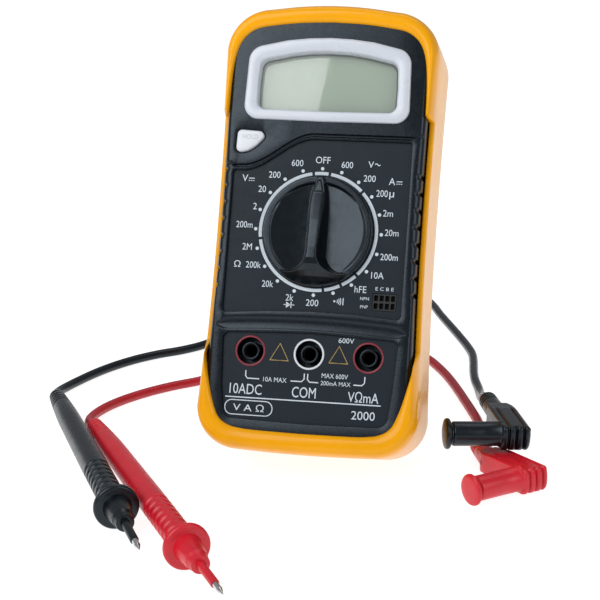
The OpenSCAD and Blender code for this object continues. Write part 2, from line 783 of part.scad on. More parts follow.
module plug_cap(at, pose, shade) {
    color(shade) place_plug(at, pose) translate([barrel_end, 0, 0]) rotate([0, 90, 0]) {
        rotate_extrude() polygon([[0, 0.1], [barrel_radius - 0.4, 0.1], [barrel_radius - 0.4, 0.7],
            [4.7, 0.7], [5.05, 1.2], [5.05, 2], [4.6, 2.4], [0, 2.6]]);
        difference() {
            translate([0, 0, -cap_spigot]) cylinder(r = 3.04, h = cap_spigot + 0.2);
            translate([0, 0, -cap_spigot - 1]) cylinder(r = 2.2, h = cap_spigot + 0.6);
        }
    }
}

module place_probe(tail, turn) {
    translate(tail) rotate([0, -probe_rise, turn]) rotate([0, 90, 0]) children();
}

// radius of the probe's handle at a distance s from its tail
function handle_radius(s) = s < 34 ? 2.7 + 1.25 * sin(90 * s / 34) : 3.95 + 0.25 * min(1, (s - 34) / 40);
tail_ribs = [for (i = [1:5]) [2.4 * i + 1.2, 0.45]];
grip_rings = [for (i = [0:6]) [80 + 3.6 * i, 0.6]];
nose_at = guard_at + 13.6;
sleeve_at = nose_at + 13.2;

module probe_handle(tail, turn, shade) {
    body = [for (s = [0, 2, 5, 9, 14, 20, 27, 34, 44, 56, 68, 76]) [handle_radius(s), s]];
    grooves = [for (g = grip_rings) each [[4.2, g[0] - 0.9], [4.2 - g[1], g[0]], [4.2, g[0] + 0.9]]];
    color(shade) place_probe(tail, turn) difference() {
        rotate_extrude() polygon(concat([[0, 0]], body, grooves,
            [[4.2, guard_at - 2.6], [5.2, guard_at - 1.6], [guard_radius - 0.6, guard_at - 1.4],
                [guard_radius, guard_at - 0.8], [guard_radius, guard_at + 0.6],
                [guard_radius - 0.7, guard_at + 1.4], [4.5, guard_at + 1.6], [4.2, guard_at + 2],
                [2.7, nose_at - 0.4], [2.3, nose_at], [1.35, nose_at], [1.35, sleeve_at], [0, sleeve_at]]));
        for (g = tail_ribs) translate([0, 0, g[0]]) difference() {
            cylinder(r = 5, h = 0.9);
            translate([0, 0, -1]) cylinder(r = handle_radius(g[0]) - g[1], h = 3);
        }
        translate([0, 0, guard_at - 20]) cylinder(r = 0.95, h = 60);
        translate([0, 0, -1]) cylinder(r = cable_radius + 0.05, h = 88);
    }
}

module probe_tip(tail, turn) {
    color("#c9ccd1") place_probe(tail, turn) rotate_extrude()
        polygon([[0, guard_at - 20], [0.94, guard_at - 20], [0.94, probe_length - 3.4], [0, probe_length]]);
}

// tube of eight sides swept along a route
function unit(v) = v / norm(v);
function along(p, i) = unit(p[min(i + 1, len(p) - 1)] - p[max(i - 1, 0)]);
function ring(at, d) = let (side = unit(cross(d, [0, 0, 1])), up = cross(side, d))
    [for (k = [0:7]) at + cable_radius * (cos(45 * k) * side + sin(45 * k) * up)];

module cable(route, shade) {
    n = len(route);
    points = [for (i = [0:n - 1]) each ring(route[i], along(route, i))];
    faces = concat([[for (k = [0:7]) k]],
        [for (i = [0:n - 2], k = [0:7]) let (a = 8 * i + k, b = 8 * i + (k + 1) % 8) each
            [[a, a + 8, b + 8], [a, b + 8, b]]],
        [[for (k = [7:-1:0]) 8 * (n - 1) + k]]);
    color(shade) polyhedron(points, faces);
}

module cable_coil(at, shade) {
    inner = coil_radius - cable_diameter;
    outer = coil_radius + cable_diameter;
    color(shade) translate([at[0], at[1], 0]) rotate_extrude()
        polygon([[inner, 1], [inner + 1, 0], [outer - 1, 0], [outer, 1], [outer, coil_height - 1],
            [outer - 1, coil_height], [inner + 1, coil_height], [inner, coil_height - 1]]);
}

module plug_body_black() { plug_body(plug_black_at, plug_black_pose, relief_black_bend, lead_black); }
module plug_pin_black() { plug_pin(plug_black_at, plug_black_pose); }
module plug_cap_black() { plug_cap(plug_black_at, plug_black_pose, lead_black); }
module probe_handle_black() { probe_handle(probe_black_tail, probe_black_turn, lead_black); }
module probe_tip_black() { probe_tip(probe_black_tail, probe_black_turn); }
module cable_plug_side_black() { cable(route_black_plug, lead_black); }
module cable_coil_black() { cable_coil(coil_black_at, lead_black); }
module cable_probe_side_black() { cable(route_black_probe, lead_black); }
module plug_body_red() { plug_body(plug_red_at, plug_red_pose, relief_red_bend, lead_red); }
module plug_pin_red() { plug_pin(plug_red_at, plug_red_pose); }
module plug_cap_red() { plug_cap(plug_red_at, plug_red_pose, lead_red); }
module probe_handle_red() { probe_handle(probe_red_tail, probe_red_turn, lead_red); }
module probe_tip_red() { probe_tip(probe_red_tail, probe_red_turn); }
module cable_plug_side_red() { cable(route_red_plug, lead_red); }
module cable_coil_red() { cable_coil(coil_red_at, lead_red); }
module cable_probe_side_red() { cable(route_red_probe, lead_red); }

holster();
tilt_stand();
front_casing();
rear_casing();
display_bezel();
display_window();
lcd_panel();
lcd_frame();
lcd_connector();
dial_label();
jack_label();
jack_ring_10a();
jack_ring_com();
jack_ring_ma();
jack_sleeve_10a();
jack_sleeve_com();
jack_sleeve_ma();
transistor_socket();
range_knob();
contact_rotor();
rotor_contacts();
detent_balls();
detent_springs();
hold_button();
hold_plunger();
hold_switch();
main_board();
measuring_chip();
board_components();
calibration_trimmer();
buzzer();
fuse();
fuse_clips();
shunt_wire();
battery();
battery_snap();
battery_wire_red();
battery_wire_black();
board_screws();
case_screws();
plug_body_black();
plug_pin_black();
plug_cap_black();
probe_handle_black();
probe_tip_black();
cable_plug_side_black();
cable_coil_black();
cable_probe_side_black();
plug_body_red();
plug_pin_red();
plug_cap_red();
probe_handle_red();
probe_tip_red();
cable_plug_side_red();
cable_coil_red();
cable_probe_side_red();
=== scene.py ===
"""Handheld digital multimeter in a rubber holster, with its two test leads.

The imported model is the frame. The shells, the selector, the plugs, the probes and the cables are
rebuilt here in finer detail, the dial and the jacks get their printing, and every piece gets a
procedural material. Meter pieces are drawn in millimetres on the meter's face: X across, Y up the
face and Z out of it, from the selector's axis at the dial label.
"""
import json
import math

import bmesh
import bpy
from mathutils import Matrix, Vector
from mathutils.geometry import delaunay_2d_cdt


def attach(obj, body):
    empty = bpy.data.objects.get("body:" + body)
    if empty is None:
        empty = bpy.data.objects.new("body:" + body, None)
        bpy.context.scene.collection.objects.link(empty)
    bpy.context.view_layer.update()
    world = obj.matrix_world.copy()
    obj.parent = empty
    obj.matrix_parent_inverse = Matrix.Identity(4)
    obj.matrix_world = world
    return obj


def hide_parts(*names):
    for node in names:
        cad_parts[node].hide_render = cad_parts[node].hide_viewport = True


MM = 0.001
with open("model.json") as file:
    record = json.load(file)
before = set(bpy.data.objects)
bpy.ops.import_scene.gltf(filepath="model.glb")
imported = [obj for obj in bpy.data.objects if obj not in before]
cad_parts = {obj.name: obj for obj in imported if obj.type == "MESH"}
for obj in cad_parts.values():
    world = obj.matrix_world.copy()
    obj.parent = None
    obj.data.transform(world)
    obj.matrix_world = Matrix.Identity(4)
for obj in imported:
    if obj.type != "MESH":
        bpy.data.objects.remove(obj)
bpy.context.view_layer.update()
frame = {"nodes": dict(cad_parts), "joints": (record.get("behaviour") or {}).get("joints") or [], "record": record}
slot_of = {part["node"]: part["material_slot"] for part in frame["record"]["subparts"]}
joints = {joint["name"]: joint for joint in frame["joints"]}


def face_matrix():
    """From millimetres on the meter's face to metres in the row frame."""
    turn = joints["selector_turn"]
    out = Vector(turn["axis"]).normalized()
    across = Vector((1, 0, 0))
    turned = Matrix((across, out.cross(across), out)).transposed().to_4x4()
    return Matrix.Translation(Vector(turn["pos_m"])) @ turned @ Matrix.Scale(MM, 4)


FACE = face_matrix()
ROW = Matrix.Scale(MM, 4)


# ---------------------------------------------------------------- camera, light and floor

def set_camera():
    data = bpy.data.cameras.new("camera")
    data.lens = 96
    data.sensor_width = 36
    data.clip_start = 0.01
    camera = bpy.data.objects.new("camera", data)
    camera.location = FACE.translation + Vector((0.0924, -0.4876, 0.1238))
    camera.rotation_euler = (math.radians(73.55), 0, math.radians(11.395))
    bpy.context.collection.objects.link(camera)
    bpy.context.scene.camera = camera


def area_light(name, place, target, size, power, roll=0):
    data = bpy.data.lights.new(name, "AREA")
    data.shape = "RECTANGLE"
    data.size, data.size_y = size
    data.energy = power
    light = bpy.data.objects.new(name, data)
    light.location = place
    aim = (Vector(target) - Vector(place)).to_track_quat("-Z", "Y").to_matrix()
    light.rotation_euler = (aim @ Matrix.Rotation(math.radians(roll), 3, "Z")).to_euler()
    bpy.context.collection.objects.link(light)


def set_stage():
    world = bpy.data.worlds.new("studio")
    world.use_nodes = True
    background = world.node_tree.nodes["Background"]
    background.inputs["Color"].default_value = (0.93, 0.95, 1, 1)
    background.inputs["Strength"].default_value = 0.36
    bpy.context.scene.world = world
    bpy.context.scene.view_settings.view_transform = "Standard"
    face = FACE.translation
    display = face + Vector((0, 0.019, 0.046))
    area_light("key", face + Vector((-0.385, -0.435, 0.5)), display, (0.6, 0.6), 4.2, roll=14)
    area_light("fill", (0.75, -0.5, 0.5), face, (0.5, 0.5), 2.0)
    area_light("top", (0.05, 0.35, 0.95), face, (0.7, 0.4), 1.3)
    mesh = bpy.data.meshes.new("floor")
    far = 6
    corners = [(-far, -far, 0), (far, -far, 0), (far, far, 0), (-far, far, 0)]
    mesh.from_pydata(corners, [], [(0, 1, 2, 3)])
    floor = bpy.data.objects.new("floor", mesh)
    floor.data.materials.append(material("floor_paper", (0.34, 0.34, 0.34), 0.8, shade=0.02, size=30))
    paper = floor.data.materials[0].node_tree.nodes["Principled BSDF"]
    paper.inputs["Emission Color"].default_value = (1, 1, 1, 1)
    paper.inputs["Emission Strength"].default_value = 0.9
    bpy.context.collection.objects.link(floor)


# ---------------------------------------------------------------- materials

def node(tree, kind, **values):
    made = tree.nodes.new(kind)
    for key, value in values.items():
        if hasattr(made, key):
            setattr(made, key, value)
        else:
            made.inputs[key.replace("_", " ")].default_value = value
    return made


def srgb(r, g, b):
    """A colour given from 0 to 255, as the linear values that the nodes take."""
    return tuple((c / 255 / 12.92 if c < 11 else ((c / 255 + 0.055) / 1.055) ** 2.4) for c in (r, g, b))


COOL_SHINE = (0.74, 0.88, 1, 1)     # black plastic reflects a little blue


def material(name, colour, roughness, shade=0.12, size=120, grain=0, grain_size=2500, metal=0, coat=0,
             smudge=0.06, scratch=0, shine=0.5, cool=False):
    """A moulded or metal surface: its colour and roughness drift over the piece, with a fine grain.

    shade is how far the colour drifts, size how many drifts there are to a metre, grain how deep
    the fine texture is, and scratch how much brushed streaking there is.
    """
    made = bpy.data.materials.new(name)
    made.use_nodes = True
    tree = made.node_tree
    shader = tree.nodes["Principled BSDF"]
    place = node(tree, "ShaderNodeTexCoord")
    drift = node(tree, "ShaderNodeTexNoise", Scale=size, Detail=4.0, Roughness=0.55)
    tree.links.new(place.outputs["Object"], drift.inputs["Vector"])
    ramp = node(tree, "ShaderNodeValToRGB")
    low = [c * (1 - shade) for c in colour]
    high = [min(1, c * (1 + shade)) for c in colour]
    ramp.color_ramp.elements[0].position = 0.3
    ramp.color_ramp.elements[1].position = 0.7
    ramp.color_ramp.elements[0].color = (*low, 1)
    ramp.color_ramp.elements[1].color = (*high, 1)
    tree.links.new(drift.outputs["Fac"], ramp.inputs["Fac"])
    tree.links.new(ramp.outputs["Color"], shader.inputs["Base Color"])
    wear = node(tree, "ShaderNodeTexNoise", Scale=size * 3, Detail=5.0, Roughness=0.65)
    tree.links.new(place.outputs["Object"], wear.inputs["Vector"])
    spread = node(tree, "ShaderNodeMapRange")
    spread.inputs["From Min"].default_value = 0.3
    spread.inputs["From Max"].default_value = 0.7
    spread.inputs["To Min"].default_value = max(0.02, roughness - smudge)
    spread.inputs["To Max"].default_value = min(1, roughness + smudge)
    tree.links.new(wear.outputs["Fac"], spread.inputs["Value"])
    tree.links.new(spread.outputs["Result"], shader.inputs["Roughness"])
    shader.inputs["Metallic"].default_value = metal
    shader.inputs["Specular IOR Level"].default_value = shine
    shader.inputs["Coat Weight"].default_value = coat
    shader.inputs["Coat Roughness"].default_value = 0.12
    if cool:
        shader.inputs["Specular Tint"].default_value = COOL_SHINE
    if grain or scratch:
        fine = node(tree, "ShaderNodeTexNoise", Scale=grain_size, Detail=3.0, Roughness=0.6)
        if scratch:
            squeeze = node(tree, "ShaderNodeMapping")
            squeeze.inputs["Scale"].default_value = (1, 1, 0.03)
            tree.links.new(place.outputs["Object"], squeeze.inputs["Vector"])
            tree.links.new(squeeze.outputs["Vector"], fine.inputs["Vector"])
        else:
            tree.links.new(place.outputs["Object"], fine.inputs["Vector"])
        bump = node(tree, "ShaderNodeBump", Strength=max(grain, scratch), Distance=0.00012)
        tree.links.new(fine.outputs["Fac"], bump.inputs["Height"])
        tree.links.new(bump.outputs["Normal"], shader.inputs["Normal"])
    return made


def clear_material(name, tint, roughness, alpha):
    """A clear window or tube: mostly see-through, with a faint smudge in its shine."""
    made = material(name, tint, roughness, shade=0.03, size=60, smudge=0.03, coat=0.6)
    shader = made.node_tree.nodes["Principled BSDF"]
    shader.inputs["Alpha"].default_value = alpha
    made.surface_render_method = "BLENDED"
    return made


def display_glass():
    """The liquid crystal panel: grey-green, under a flat glossy sheet."""
    made = material("lcd_glass", srgb(121, 139, 117), 0.45, 0.03, 25, coat=1, shine=0.3)
    shader = made.node_tree.nodes["Principled BSDF"]
    shader.inputs["Coat Roughness"].default_value = 0.02
    shader.inputs["Coat IOR"].default_value = 1.75
    return made


# material slot: colour, roughness, how far the colour drifts, drifts to a metre, and the rest
FINISHES = {
    "holster_rubber": ((231, 158, 0), 0.3, 0.05, 70,
        dict(grain=0.05, grain_size=1800, coat=0.3, smudge=0.03, shine=0.08)),
    "stand_plastic": ((245, 170, 4), 0.42, 0.05, 70, dict(grain=0.15, grain_size=2200)),
    "case_plastic": ((5, 10, 16), 0.27, 0.1, 150,
        dict(grain=0.16, grain_size=3000, shine=0.4, cool=True)),
    "bezel_plastic": ((188, 193, 202), 0.3, 0.02, 90, dict(grain=0.08, grain_size=3000, coat=0.35)),
    "frame_plastic": ((40, 42, 44), 0.5, 0.1, 200, dict(grain=0.2)),
    "connector_rubber": ((205, 150, 160), 0.6, 0.1, 500, dict(grain=0.3)),
    "label_print": ((17, 28, 36), 0.46, 0.08, 160, dict(grain=0.35, grain_size=2600, shine=0.22)),
    "ring_red": ((118, 34, 47), 0.4, 0.08, 200, dict(grain=0.1)),
    "ring_white": ((202, 208, 214), 0.4, 0.03, 200, dict(grain=0.1)),
    "contact_brass": ((66, 56, 38), 0.36, 0.12, 300, dict(grain=0.1, metal=1, scratch=0.15)),
    "socket_plastic": ((11, 13, 15), 0.4, 0.1, 200, dict(grain=0.2)),
    "knob_plastic": ((5, 9, 13), 0.22, 0.1, 140,
        dict(grain=0.12, grain_size=3000, shine=0.44, cool=True)),
    "nylon": ((225, 220, 205), 0.5, 0.05, 150, dict(grain=0.15)),
    "ball_steel": ((205, 207, 210), 0.12, 0.04, 300, dict(metal=1, smudge=0.04)),
    "spring_steel": ((180, 182, 186), 0.3, 0.06, 400, dict(metal=1, scratch=0.1)),
    "button_plastic": ((203, 207, 212), 0.38, 0.02, 150, dict(grain=0.1, grain_size=3000, coat=0.15)),
    "switch_plastic": ((60, 60, 62), 0.5, 0.08, 300, dict(grain=0.15)),
    "board_laminate": ((35, 98, 52), 0.35, 0.18, 260, dict(grain=0.2, grain_size=1500, coat=0.4)),
    "chip_epoxy": ((24, 24, 25), 0.22, 0.1, 250, dict(grain=0.1, coat=0.3)),
    "component_body": ((205, 180, 135), 0.45, 0.15, 260, dict(grain=0.15)),
    "trimmer_plastic": ((55, 105, 180), 0.4, 0.08, 250, dict(grain=0.1)),
    "buzzer_plastic": ((28, 28, 30), 0.5, 0.1, 250, dict(grain=0.2)),
    "clip_metal": ((192, 194, 198), 0.28, 0.06, 300, dict(metal=1, scratch=0.15)),
    "shunt_metal": ((190, 176, 140), 0.3, 0.08, 300, dict(metal=1, scratch=0.1)),
    "battery_can": ((52, 56, 64), 0.34, 0.1, 120, dict(grain=0.08, metal=0.5, scratch=0.1)),
    "snap_plastic": ((30, 30, 31), 0.5, 0.1, 250, dict(grain=0.2)),
    "wire_red": ((196, 30, 32), 0.42, 0.08, 300, dict(grain=0.1)),
    "wire_black": ((28, 28, 30), 0.42, 0.1, 300, dict(grain=0.1)),
    "screw_steel": ((186, 188, 192), 0.3, 0.07, 400, dict(metal=1, scratch=0.2)),
    "lead_plastic_black": ((5, 9, 13), 0.3, 0.12, 170,
        dict(grain=0.18, grain_size=2600, shine=0.46, cool=True)),
    "lead_plastic_red": ((196, 12, 34), 0.36, 0.07, 170, dict(grain=0.18, grain_size=2600)),
    "cable_black": ((4, 7, 10), 0.26, 0.12, 200,
        dict(grain=0.08, grain_size=2000, shine=0.42, cool=True)),
    "cable_red": ((168, 10, 32), 0.36, 0.08, 200, dict(grain=0.1, grain_size=2000)),
    "pin_nickel": ((205, 200, 185), 0.2, 0.05, 300, dict(metal=1, scratch=0.1)),
    "tip_steel": ((205, 205, 205), 0.18, 0.05, 300, dict(metal=1, scratch=0.15)),
}
# see-through material slot: colour, roughness and how much of it shows
CLEAR_FINISHES = {
    "window_plastic": ((225, 235, 228), 0.05, 0.12),
    "fuse_glass": ((225, 235, 235), 0.05, 0.35),
}
made_materials = {}


def finish_of(slot):
    if slot in made_materials:
        return made_materials[slot]
    if slot == "lcd_glass":
        made = display_glass()
    elif slot in CLEAR_FINISHES:
        colour, roughness, alpha = CLEAR_FINISHES[slot]
        made = clear_material(slot, srgb(*colour), roughness, alpha)
    else:
        colour, roughness, shade, size, rest = FINISHES[slot]
        made = material(slot, srgb(*colour), roughness, shade, size, **rest)
    made_materials[slot] = made
    return made


def print_ink():
    return material("print_ink", srgb(192, 202, 210), 0.5, 0.04, 300, 0.1)


# ---------------------------------------------------------------- mesh helpers

def add(obj, slot, body="meter", replaces=()):
    if obj.name not in bpy.context.collection.objects:
        bpy.context.collection.objects.link(obj)
    if slot:
        obj.data.materials.append(finish_of(slot))
    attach(obj, body)
    if replaces:
        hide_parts(*replaces)
    return obj


def shape(name, points, faces, place=FACE, angle=38):
    """A mesh object with smooth faces and its sharp edges kept; points are in millimetres."""
    mesh = bpy.data.meshes.new(name)
    mesh.from_pydata([place @ Vector(p) for p in points], [], faces)
    work = bmesh.new()
    work.from_mesh(mesh)
    bmesh.ops.remove_doubles(work, verts=work.verts, dist=1e-6)
    bmesh.ops.recalc_face_normals(work, faces=work.faces)
    work.to_mesh(mesh)
    work.free()
    mesh.shade_smooth()
    mesh.set_sharp_from_angle(angle=math.radians(angle))
    return bpy.data.objects.new(name, mesh)


class Build:
    """Collects points and faces of one piece."""

    def __init__(self):
        self.points = []
        self.faces = []

    def ring(self, points):
        first = len(self.points)
        self.points.extend(points)
        return list(range(first, first + len(points)))

    def bridge(self, a, b, closed=True):
        for i in range(len(a) if closed else len(a) - 1):
            j = (i + 1) % len(a)
            self.faces.append((a[i], a[j], b[j], b[i]))

    def loft(self, rings, start=False, end=False, closed=True):
        placed = [self.ring(r) for r in rings]
        for a, b in zip(placed, placed[1:]):
            self.bridge(a, b, closed)
        if start:
            self.faces.append(tuple(reversed(placed[0])))
        if end:
            self.faces.append(tuple(placed[-1]))
        return placed

    def fill(self, loops, level):
        """A face at that level inside the first outline, with the others as holes."""
        points, outlines = [], []
        for loop in loops:
            outlines.append(list(range(len(points), len(points) + len(loop))))
            points.extend(Vector((p[0], p[1])) for p in loop)
        spots, _, faces, _, _, inside = delaunay_2d_cdt(points, [], outlines, 1, 1e-5)
        height = level if callable(level) else lambda x, y: level
        first = len(self.points)
        self.points.extend((p.x, p.y, height(p.x, p.y)) for p in spots)
        for face, owners in zip(faces, inside):
            if list(owners) == [0]:
                self.faces.append(tuple(first + i for i in face))

    def made(self, name, place=FACE, angle=38):
        return shape(name, self.points, self.faces, place, angle)


def lathe(build, profile, centre=(0, 0), steps=64, place=None):
    """Turns a profile of (radius, height) about Z, standing at centre or moved by place."""
    rings = []
    for r, z in profile:
        ring = []
        for i in range(steps):
            a = 2 * math.pi * i / steps
            p = Vector((centre[0] + r * math.cos(a), centre[1] + r * math.sin(a), z))
            ring.append(tuple(place @ p) if place else tuple(p))
        rings.append(ring)
    build.loft(rings)


def arc(x, y, r, a, b, n=10):
    """Points round (x, y) from angle a to angle b, in degrees."""
    angles = [math.radians(a + (b - a) * i / n) for i in range(n + 1)]
    return [(x + r * math.cos(t), y + r * math.sin(t)) for t in angles]


def normals(loop):
    """Outward normals of a closed outline that runs anticlockwise."""
    out = []
    for i, p in enumerate(loop):
        a, b = Vector(loop[i - 1]), Vector(loop[(i + 1) % len(loop)])
        d = (b - a).normalized()
        out.append(Vector((d.y, -d.x)))
    return out


def grown(loop, by):
    """The outline moved outwards."""
    return [(p[0] + n.x * by, p[1] + n.y * by) for p, n in zip(loop, normals(loop))]


def at(loop, level):
    return [(p[0], p[1], level) for p in loop]


def smooth_step(x, low, high):
    t = min(1, max(0, (x - low) / (high - low)))
    return t * t * (3 - 2 * t)


def between(x, table):
    """Straight-line value at x in a list of (x, value)."""
    for (x0, v0), (x1, v1) in zip(table, table[1:]):
        if x <= x1:
            return v0 + (v1 - v0) * min(1, max(0, (x - x0) / (x1 - x0)))
    return table[-1][1]


# ---------------------------------------------------------------- cables

PLUGS = {
    "black": {"at": (65.1, -16.3, 13.5), "pose": (1.2, -2.6, 197.9), "bend": (0, 0)},
    "red": {"at": (71, -30.5, 5.3), "pose": (4, 0.5, 221), "bend": (1.5, -22)},
}
PROBES = {
    "black": {"tail": (-102.5, 14.6, 3.4), "turn": -61.2},
    "red": {"tail": (-79.6, -11, 3.4), "turn": -58.2},
}
GUARD_AT = 112
GUARD_RADIUS = 7


def probe_matrix(colour):
    probe = PROBES[colour]
    rise = math.asin((GUARD_RADIUS + 0.05 - 3.4) / GUARD_AT)
    return (ROW @ Matrix.Translation(probe["tail"]) @ Matrix.Rotation(math.radians(probe["turn"]), 4, "Z")
            @ Matrix.Rotation(-rise, 4, "Y") @ Matrix.Rotation(math.radians(90), 4, "Y"))


CABLE = 3.4     # diameter
# routes on the table, from the plug to the coil and from the coil to the probe
ROUTES = {
    "black": {
        "coil": (-30, 133),
        "plug": [(53.2, 16.1, 12.8), (51.5, 24, 10.9), (50.3, 33, 7.3), (49.2, 42, 4),
                 (48, 50, 2.3), (46.6, 58, 1.8), (44.3, 68, 1.8), (42.9, 78, 1.8), (41.9, 88, 1.8),
                 (40.4, 98, 1.8), (37.4, 108, 1.8), (33.6, 118.5, 1.8), (29.6, 129, 1.8),
                 (25.5, 139.5, 1.8), (21.5, 150, 1.8), (18, 160, 1.8), (13.6, 169, 1.8), (6, 175, 1.8),
                 (-4, 174.5, 1.8),
                 (-13, 168, 1.8), (-20.5, 160.5, 1.8), (-29, 154.5, 1.8)],
        "probe": [(-47.9, 143.2, 4.6), (-51.5, 133, 3.2), (-55, 122, 2), (-58.4, 111, 1.8),
                  (-62, 100, 1.8), (-66.8, 88.5, 1.8), (-73.5, 80, 1.8), (-81, 73.5, 1.8),
                  (-88, 65.5, 1.8), (-94, 56, 1.8), (-98.6, 46, 1.8), (-102, 36, 1.8),
                  (-104.2, 27, 2), (-104.4, 20.5, 2.6)],
    },
    "red": {
        "coil": (-17, 86),
        "plug": [(52.1, -2.7, 3.3), (52.1, 5.5, 2.3), (51.6, 14, 1.8), (49.4, 24, 1.8),
                 (46.4, 33.5, 1.8), (43.2, 43, 1.8), (40, 52.5, 1.8), (36.6, 62, 1.8),
                 (33, 71, 1.8), (29, 79.5, 1.8), (24.6, 87.5, 1.8), (19, 94.5, 1.8), (11.5, 100.5, 1.8),
                 (2.5, 104.6, 1.8), (-7, 106.4, 1.8), (-16, 107, 1.8)],
        "probe": [(-34.2, 97.4, 4.6), (-38.5, 87, 3.2), (-42.5, 76, 2), (-46.2, 66, 1.8),
                  (-50.6, 55.5, 1.8), (-57, 46, 1.8), (-65, 38.5, 1.8), (-72, 30.5, 1.8),
                  (-78, 21.5, 1.8), (-82.4, 12, 1.8), (-84.5, 2.5, 1.8), (-83.4, -5.5, 2.4)],
    },
}
COIL_RADIUS = 17.5
COIL_TURNS = 4
IN_HANDLE = (0, 6, 14, 26, 38, 50, 62, 74, 86)     # the cable's spots inside the probe


def coil_points(centre, start, end):
    """Four turns two wide and two high: outer and inner below, then inner and outer on top."""
    step = CABLE / 2
    outer, inner = COIL_RADIUS + step, COIL_RADIUS - step
    seats = [(outer, 1.8), (inner, 1.8), (inner, 5), (outer, 5)]
    first, last = start, end + 360 * COIL_TURNS
    points = []
    count = int((last - first) / 15)
    for i in range(1, count):
        a = first + (last - first) * i / count
        turn = (a - first) / 360
        k = min(int(turn), COIL_TURNS - 1)
        t = smooth_step(turn - k, 0.86, 1)
        now, later = seats[k], seats[min(k + 1, COIL_TURNS - 1)]
        r = now[0] + (later[0] - now[0]) * t
        z = now[1] + (later[1] - now[1]) * t
        a = math.radians(a)
        points.append((centre[0] + r * math.cos(a), centre[1] + r * math.sin(a), z))
    return points


def smooth_route(points, step):
    """Points close together on a Catmull-Rom curve through the route."""
    dense = []
    p = [Vector(q) for q in points]
    for i in range(len(p) - 1):
        a, b, c, d = p[max(i - 1, 0)], p[i], p[i + 1], p[min(i + 2, len(p) - 1)]
        n = max(1, round((c - b).length / step))
        for j in range(n):
            t = j / n
            dense.append(0.5 * (2 * b + (c - a) * t + (2 * a - 5 * b + 4 * c - d) * t * t
                                + (3 * b - 3 * c + d - a) * t ** 3))
    dense.append(p[-1])
    return dense


def route_length(points):
    return sum((Vector(b) - Vector(a)).length for a, b in zip(points, points[1:]))


def angle_from(centre, point):
    return math.degrees(math.atan2(point[1] - centre[1], point[0] - centre[0]))


def make_cable(colour):
    route = ROUTES[colour]
    centre = route["coil"]
    start = angle_from(centre, route["plug"][-1])
    end = angle_from(centre, route["probe"][0])
    inside = [tuple(probe_matrix(colour) @ Vector((0, 0, s)) / MM) for s in IN_HANDLE]
    whole = route["plug"] + coil_points(centre, start, end) + route["probe"] + inside
    dense = smooth_route(whole, 1.6)
    curve = bpy.data.curves.new("cable_" + colour, "CURVE")
    curve.dimensions = "3D"
    curve.bevel_depth = CABLE / 2 * MM
    curve.bevel_resolution = 5
    curve.use_fill_caps = True
    line = curve.splines.new("POLY")
    line.points.add(len(dense) - 1)
    for spot, p in zip(line.points, dense):
        spot.co = (*(p * MM), 1)
    line.use_smooth = True
    cable = bpy.data.objects.new("cable_" + colour, curve)
    add(cable, "cable_" + colour, replaces=["cable_plug_side_" + colour, "cable_coil_" + colour,
                                            "cable_probe_side_" + colour])
    return cable, [c * MM for c in route["plug"][0]], round(route_length(dense) * MM, 3)


# ---------------------------------------------------------------- outlines of the shells

def flared(y):
    """How far the sides stand out at that height."""
    return (0.00044 if y < 0 else 0.0002) * y * y


def half_outline(width, top, bottom, round_top, round_bottom, side_steps=90):
    """Right half, from the bottom's middle up to the top's middle."""
    xb = width + flared(round_bottom - bottom) - round_bottom
    xt = width + flared(top - round_top) - round_top
    low = -bottom + xb * xb / 900 + round_bottom
    high = top - xt * xt / 240 - round_top
    bottom_edge = [(xb * i / 8, -bottom + (xb * i / 8) ** 2 / 900) for i in range(8)]
    sides = [(width + flared(y), y) for y in
             (low + (high - low) * i / side_steps for i in range(1, side_steps))]
    top_edge = [(xt * i / 12, top - (xt * i / 12) ** 2 / 240) for i in range(11, -1, -1)]
    return (bottom_edge + arc(xb, low, round_bottom, -87, 0, 16) + sides
            + arc(xt, high, round_top, 0, 80, 14) + top_edge)


def mirrored(half):
    return half + [(-x, y) for x, y in reversed(half[1:-1])]


# ---------------------------------------------------------------- holster

HOLSTER_BACK = -34.5
# profile of the lip, from its inner edge out: inset as a + b * width, and level
HIGH_LIP = [(0, 1, -1), (0, 1, 0.9), (0, 1, 1.35), (0.1, 0.9, 1.95), (0.3, 0.72, 2.45), (0.9, 0.42, 2.6),
            (1.1, 0.24, 2.5), (1.15, 0.13, 2.15), (1, 0.06, 1.5), (0.85, 0.02, 0.7), (0.55, 0, -0.5),
            (0.28, 0, -1.8), (0.07, 0, -3.4)]
# profile of the side wall where it is cut down
LOW_WALL = [(1.75, -7.5), (1.75, -7), (1.75, -4.75), (1.68, -4.45), (1.5, -4.3), (1.1, -4.3), (0.7, -4.3),
            (0.45, -4.34), (0.25, -4.45), (0.1, -4.7), (0.02, -5.2), (0, -5.6), (0, -6)]
# right half of the lip's inner edge, from the bottom up
LIP_EDGE = [(0, -64.6), (10, -64.5), (18, -64.3), (22.5, -63.8), (25.6, -62.7), (27.5, -61.2),
            (28.7, -59.3), (29.6, -57), (30.6, -54), (31.9, -49), (33.1, -43.7), (33.9, -39),
            (33.4, -30), (32.4, -15),
            (32.2, 0), (32.2, 15), (32.1, 30), (32, 40), (31.8, 48), (31.3, 54), (30.4, 58.5), (29, 61.6),
            (26.8, 64), (23.6, 65.7), (18, 66.7), (10, 67.6), (0, 68)]


def reach(p, n, edge):
    """How far the closed outline edge lies from p, against the normal n."""
    best = 9
    for a, b in zip(edge, edge[1:] + edge[:1]):
        d = Vector((b[0] - a[0], b[1] - a[1]))
        off = Vector((p[0] - a[0], p[1] - a[1]))
        cross = n.x * d.y - n.y * d.x
        if abs(cross) < 1e-9:
            continue
        t = (off.x * d.y - off.y * d.x) / cross
        u = -(off.x * n.y - off.y * n.x) / cross
        if t > 0 and -1e-6 <= u <= 1 + 1e-6:
            best = min(best, t)
    return best


